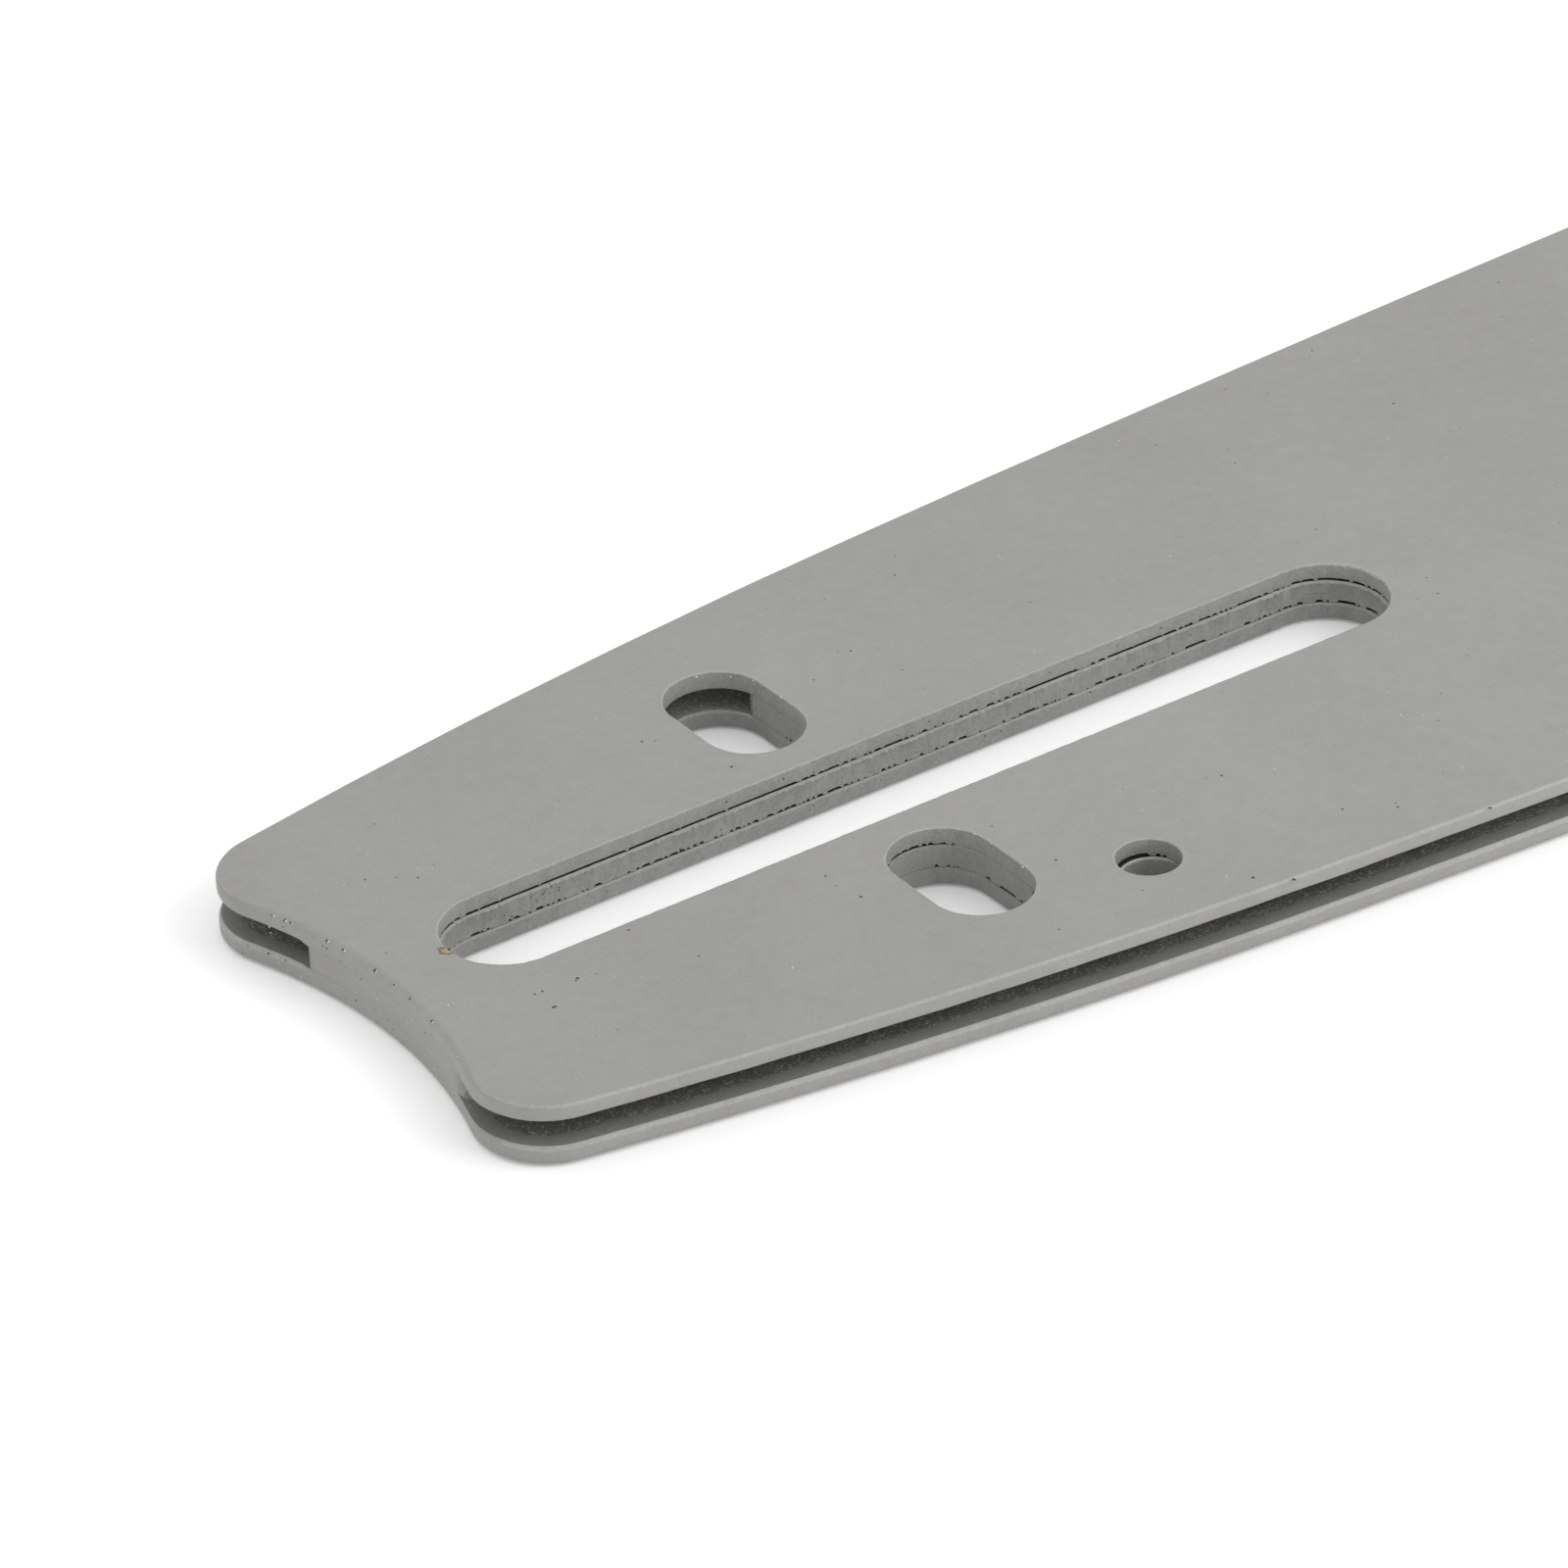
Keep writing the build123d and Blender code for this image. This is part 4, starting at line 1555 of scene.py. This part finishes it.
class GUIDEBAR_OT_rail_plates(bpy.types.Operator):
    """Makes the two painted rail plates with rounded edges, rims and joint lines"""

    bl_idname = "guide_bar.rail_plates"
    bl_label = "Rail plates"

    def execute(self, context):
        for upper, name, cad_node in (
            (True, "painted_upper_rail", "upper_rail_plate"),
            (False, "painted_lower_rail", "lower_rail_plate"),
        ):
            loops, slots = rail_loops(context.scene, upper)
            piece = plate(name, loops, slots, (ROUGH, PAINT))
            coated(piece)
            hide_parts(cad_node)
            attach(piece, "bar")
        return {"FINISHED"}


class GUIDEBAR_OT_core_plate(bpy.types.Operator):
    """Makes the core plate with its oil notches, its flared tail and the sprocket's pocket"""

    bl_idname = "guide_bar.core_plate"
    bl_label = "Core plate"

    def execute(self, context):
        loops, slots = core_loops(context.scene)
        piece = plate("painted_core", loops, slots, (GROOVE, GROOVE))
        coated(piece)
        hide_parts("core_plate")
        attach(piece, "bar")
        return {"FINISHED"}


class GUIDEBAR_OT_nose_sprocket(bpy.types.Operator):
    """Makes the toothed nose sprocket"""

    bl_idname = "guide_bar.nose_sprocket"
    bl_label = "Nose sprocket"

    def execute(self, context):
        teeth = context.scene.bar_nose.teeth
        piece = repeated(tooth_sector(context.scene), teeth, "ground steel", JOIN_DISTANCE * MM)
        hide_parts("nose_sprocket")
        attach(piece, "sprocket")
        return {"FINISHED"}


class GUIDEBAR_OT_nose_bearing(bpy.types.Operator):
    """Makes the ring of rollers and finishes the race that they run on"""

    bl_idname = "guide_bar.nose_bearing"
    bl_label = "Nose bearing"

    def execute(self, context):
        piece = repeated(roller(context.scene), len(ROLLERS), "ground steel")
        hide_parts(*ROLLERS)
        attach(piece, "roller_ring")
        race = frame["nodes"]["nose_race"]
        race.data.materials.clear()
        race.data.materials.append(bpy.data.materials["ground steel"])
        return {"FINISHED"}


class GUIDEBAR_OT_nose_rivets(bpy.types.Operator):
    """Makes the flush nose rivets"""

    bl_idname = "guide_bar.nose_rivets"
    bl_label = "Nose rivets"

    def execute(self, context):
        piece = repeated(rivet(context.scene), context.scene.bar_nose.rivets, "riveted steel")
        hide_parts("nose_rivets")
        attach(piece, "bar")
        return {"FINISHED"}


class GUIDEBAR_OT_wear(bpy.types.Operator):
    """Makes the pits and nibs in the paint, coloured with painted shade and painted highlight, and the
    beads along the rims
    """

    bl_idname = "guide_bar.wear"
    bl_label = "Pits and nibs"

    def execute(self, context):
        dark, light = marks_of_wear(context.scene)
        tree = nib_tree()
        for name, marks, flatness, material in (
            ("paint_pits", dark, 0.18, "dark pits"),
            ("paint_nibs", light, 0.4, "light nibs"),
        ):
            piece = grown(
                points_object(name, marks),
                tree,
                {"Flatness": flatness, "Seed": 5, "Material": bpy.data.materials[material]},
            )
            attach(piece, "bar")
        beads = grown(
            rim_edges(context.scene),
            rim_tree(),
            {
                "Spacing": RIM_BEAD_SPACING * MM,
                "Bead Size": RIM_BEAD_SIZE * MM,
                "Share": RIM_BEAD_SHARE,
                "Seed": 12,
                "Material": bpy.data.materials["sprayed paint"],
            },
        )
        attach(beads, "bar")
        return {"FINISHED"}


class GUIDEBAR_OT_stage(bpy.types.Operator):
    """Makes the camera, the pale floor and the soft light"""

    bl_idname = "guide_bar.stage"
    bl_label = "Stage"

    def execute(self, context):
        stage = context.scene.bar_stage
        context.scene.view_settings.view_transform = "Standard"
        heading, dip = stage.heading, stage.dip
        forward = Vector((cos(dip) * cos(heading), cos(dip) * sin(heading), -sin(dip)))
        level = forward.cross(UP).normalized()
        upright = level.cross(forward)
        right = level * cos(stage.roll) + upright * sin(stage.roll)
        up = upright * cos(stage.roll) - level * sin(stage.roll)
        target = Vector((stage.target_x, stage.target_y, RAIL_HIGH.z))
        data = bpy.data.cameras.new("camera")
        data.sensor_width = 36
        data.lens = stage.lens
        data.clip_start, data.clip_end = 0.01, 50
        camera = linked("camera", data)
        matrix = Matrix((right, up, -forward)).transposed().to_4x4()
        matrix.translation = target - forward * stage.distance
        camera.matrix_world = matrix
        context.scene.camera = camera
        self.add_floor(stage)
        self.add_sky(context, stage)
        self.add_lamp(stage)
        return {"FINISHED"}

    def add_floor(self, stage):
        """The floor, to whose look some plain white is added."""
        material, tree, shader, place = new_material("pale floor")
        soft = noise_of(tree, place, 0.6)
        base = stage.floor
        tree.links.new(mixed(tree, soft, shaded(base, -0.004), shaded(base, 0.004)), shader.inputs[0])
        shader.inputs["Roughness"].default_value = 0.9
        shader.inputs["Specular IOR Level"].default_value = 0.1
        share = maths(tree, "MULTIPLY", seen_share(tree), stage.white)
        white = node(tree, "ShaderNodeEmission", {"Color": (1, 1, 1, 1), "Strength": share})
        both = node(tree, "ShaderNodeAddShader", {0: shader.outputs[0], 1: white.outputs[0]})
        output = next(n for n in tree.nodes if n.type == "OUTPUT_MATERIAL")
        tree.links.new(both.outputs[0], output.inputs["Surface"])
        bm = bmesh.new()
        bmesh.ops.create_grid(bm, x_segments=1, y_segments=1, size=stage.floor_size / MM / 2)
        floor = placed_object("floor", bm)
        floor.data.materials.append(material)
        floor.location.z = -stage.floor_gap

    def add_sky(self, context, stage):
        """Even light from all round, which the camera sees as white."""
        world = bpy.data.worlds.new("sky")
        context.scene.world = world
        world.use_nodes = True
        tree = world.node_tree
        tree.nodes.clear()
        light = node(tree, "ShaderNodeBackground", {"Color": (1, 1, 1, 1), "Strength": stage.sky})
        seen = node(tree, "ShaderNodeBackground", {"Color": (1, 1, 1, 1), "Strength": 1.0})
        mix = node(
            tree, "ShaderNodeMixShader", {0: seen_share(tree), 1: light.outputs[0], 2: seen.outputs[0]}
        )
        node(tree, "ShaderNodeOutputWorld", {"Surface": mix.outputs[0]})

    def add_lamp(self, stage):
        """The soft lamp over the near side. It faces the middle between the oblong holes."""
        data = bpy.data.lights.new("key lamp", "AREA")
        data.shape = "SQUARE"
        data.size = stage.key_size
        data.energy = stage.key_power
        lamp = linked("key lamp", data)
        lamp.location = (stage.key_x, stage.key_y, stage.key_z)
        lamp.rotation_euler = lamp.location.to_track_quat("Z", "Y").to_euler()


GROUPS = {
    "bar_outline": BarOutline,
    "bar_openings": BarOpenings,
    "bar_core": BarCore,
    "bar_nose": BarNose,
    "bar_finish": BarFinish,
    "bar_stage": BarStage,
}
OPERATORS = (
    GUIDEBAR_OT_finishes,
    GUIDEBAR_OT_rail_plates,
    GUIDEBAR_OT_core_plate,
    GUIDEBAR_OT_nose_sprocket,
    GUIDEBAR_OT_nose_bearing,
    GUIDEBAR_OT_nose_rivets,
    GUIDEBAR_OT_wear,
    GUIDEBAR_OT_stage,
)


class GUIDEBAR_PT_panel(bpy.types.Panel):
    """Lists the pieces and their sizes in the sidebar"""

    bl_idname = "GUIDEBAR_PT_panel"
    bl_label = "Guide Bar"
    bl_space_type = "VIEW_3D"
    bl_region_type = "UI"
    bl_category = "Guide Bar"

    def draw(self, context):
        for operator in OPERATORS:
            self.layout.operator(operator.bl_idname)
        for key, group in GROUPS.items():
            box = self.layout.box()
            box.label(text=group.__doc__)
            for name in group.__annotations__:
                box.prop(getattr(context.scene, key), name)


def register():
    for key, group in GROUPS.items():
        bpy.utils.register_class(group)
        setattr(bpy.types.Scene, key, PointerProperty(type=group))
    for made in (*OPERATORS, GUIDEBAR_PT_panel):
        bpy.utils.register_class(made)


def unregister():
    for made in (GUIDEBAR_PT_panel, *reversed(OPERATORS)):
        bpy.utils.unregister_class(made)
    for key, group in reversed(GROUPS.items()):
        delattr(bpy.types.Scene, key)
        bpy.utils.unregister_class(group)


def main():
    """Dresses the bar."""
    for name in ("Cube", "Light", "Camera"):
        if name in bpy.data.objects:
            bpy.data.objects.remove(bpy.data.objects[name])
    register()
    bpy.ops.guide_bar.finishes()
    bpy.ops.guide_bar.rail_plates()
    bpy.ops.guide_bar.core_plate()
    bpy.ops.guide_bar.nose_sprocket()
    bpy.ops.guide_bar.nose_bearing()
    bpy.ops.guide_bar.nose_rivets()
    bpy.ops.guide_bar.wear()
    bpy.ops.guide_bar.stage()


if __name__ == "__main__":
    main()
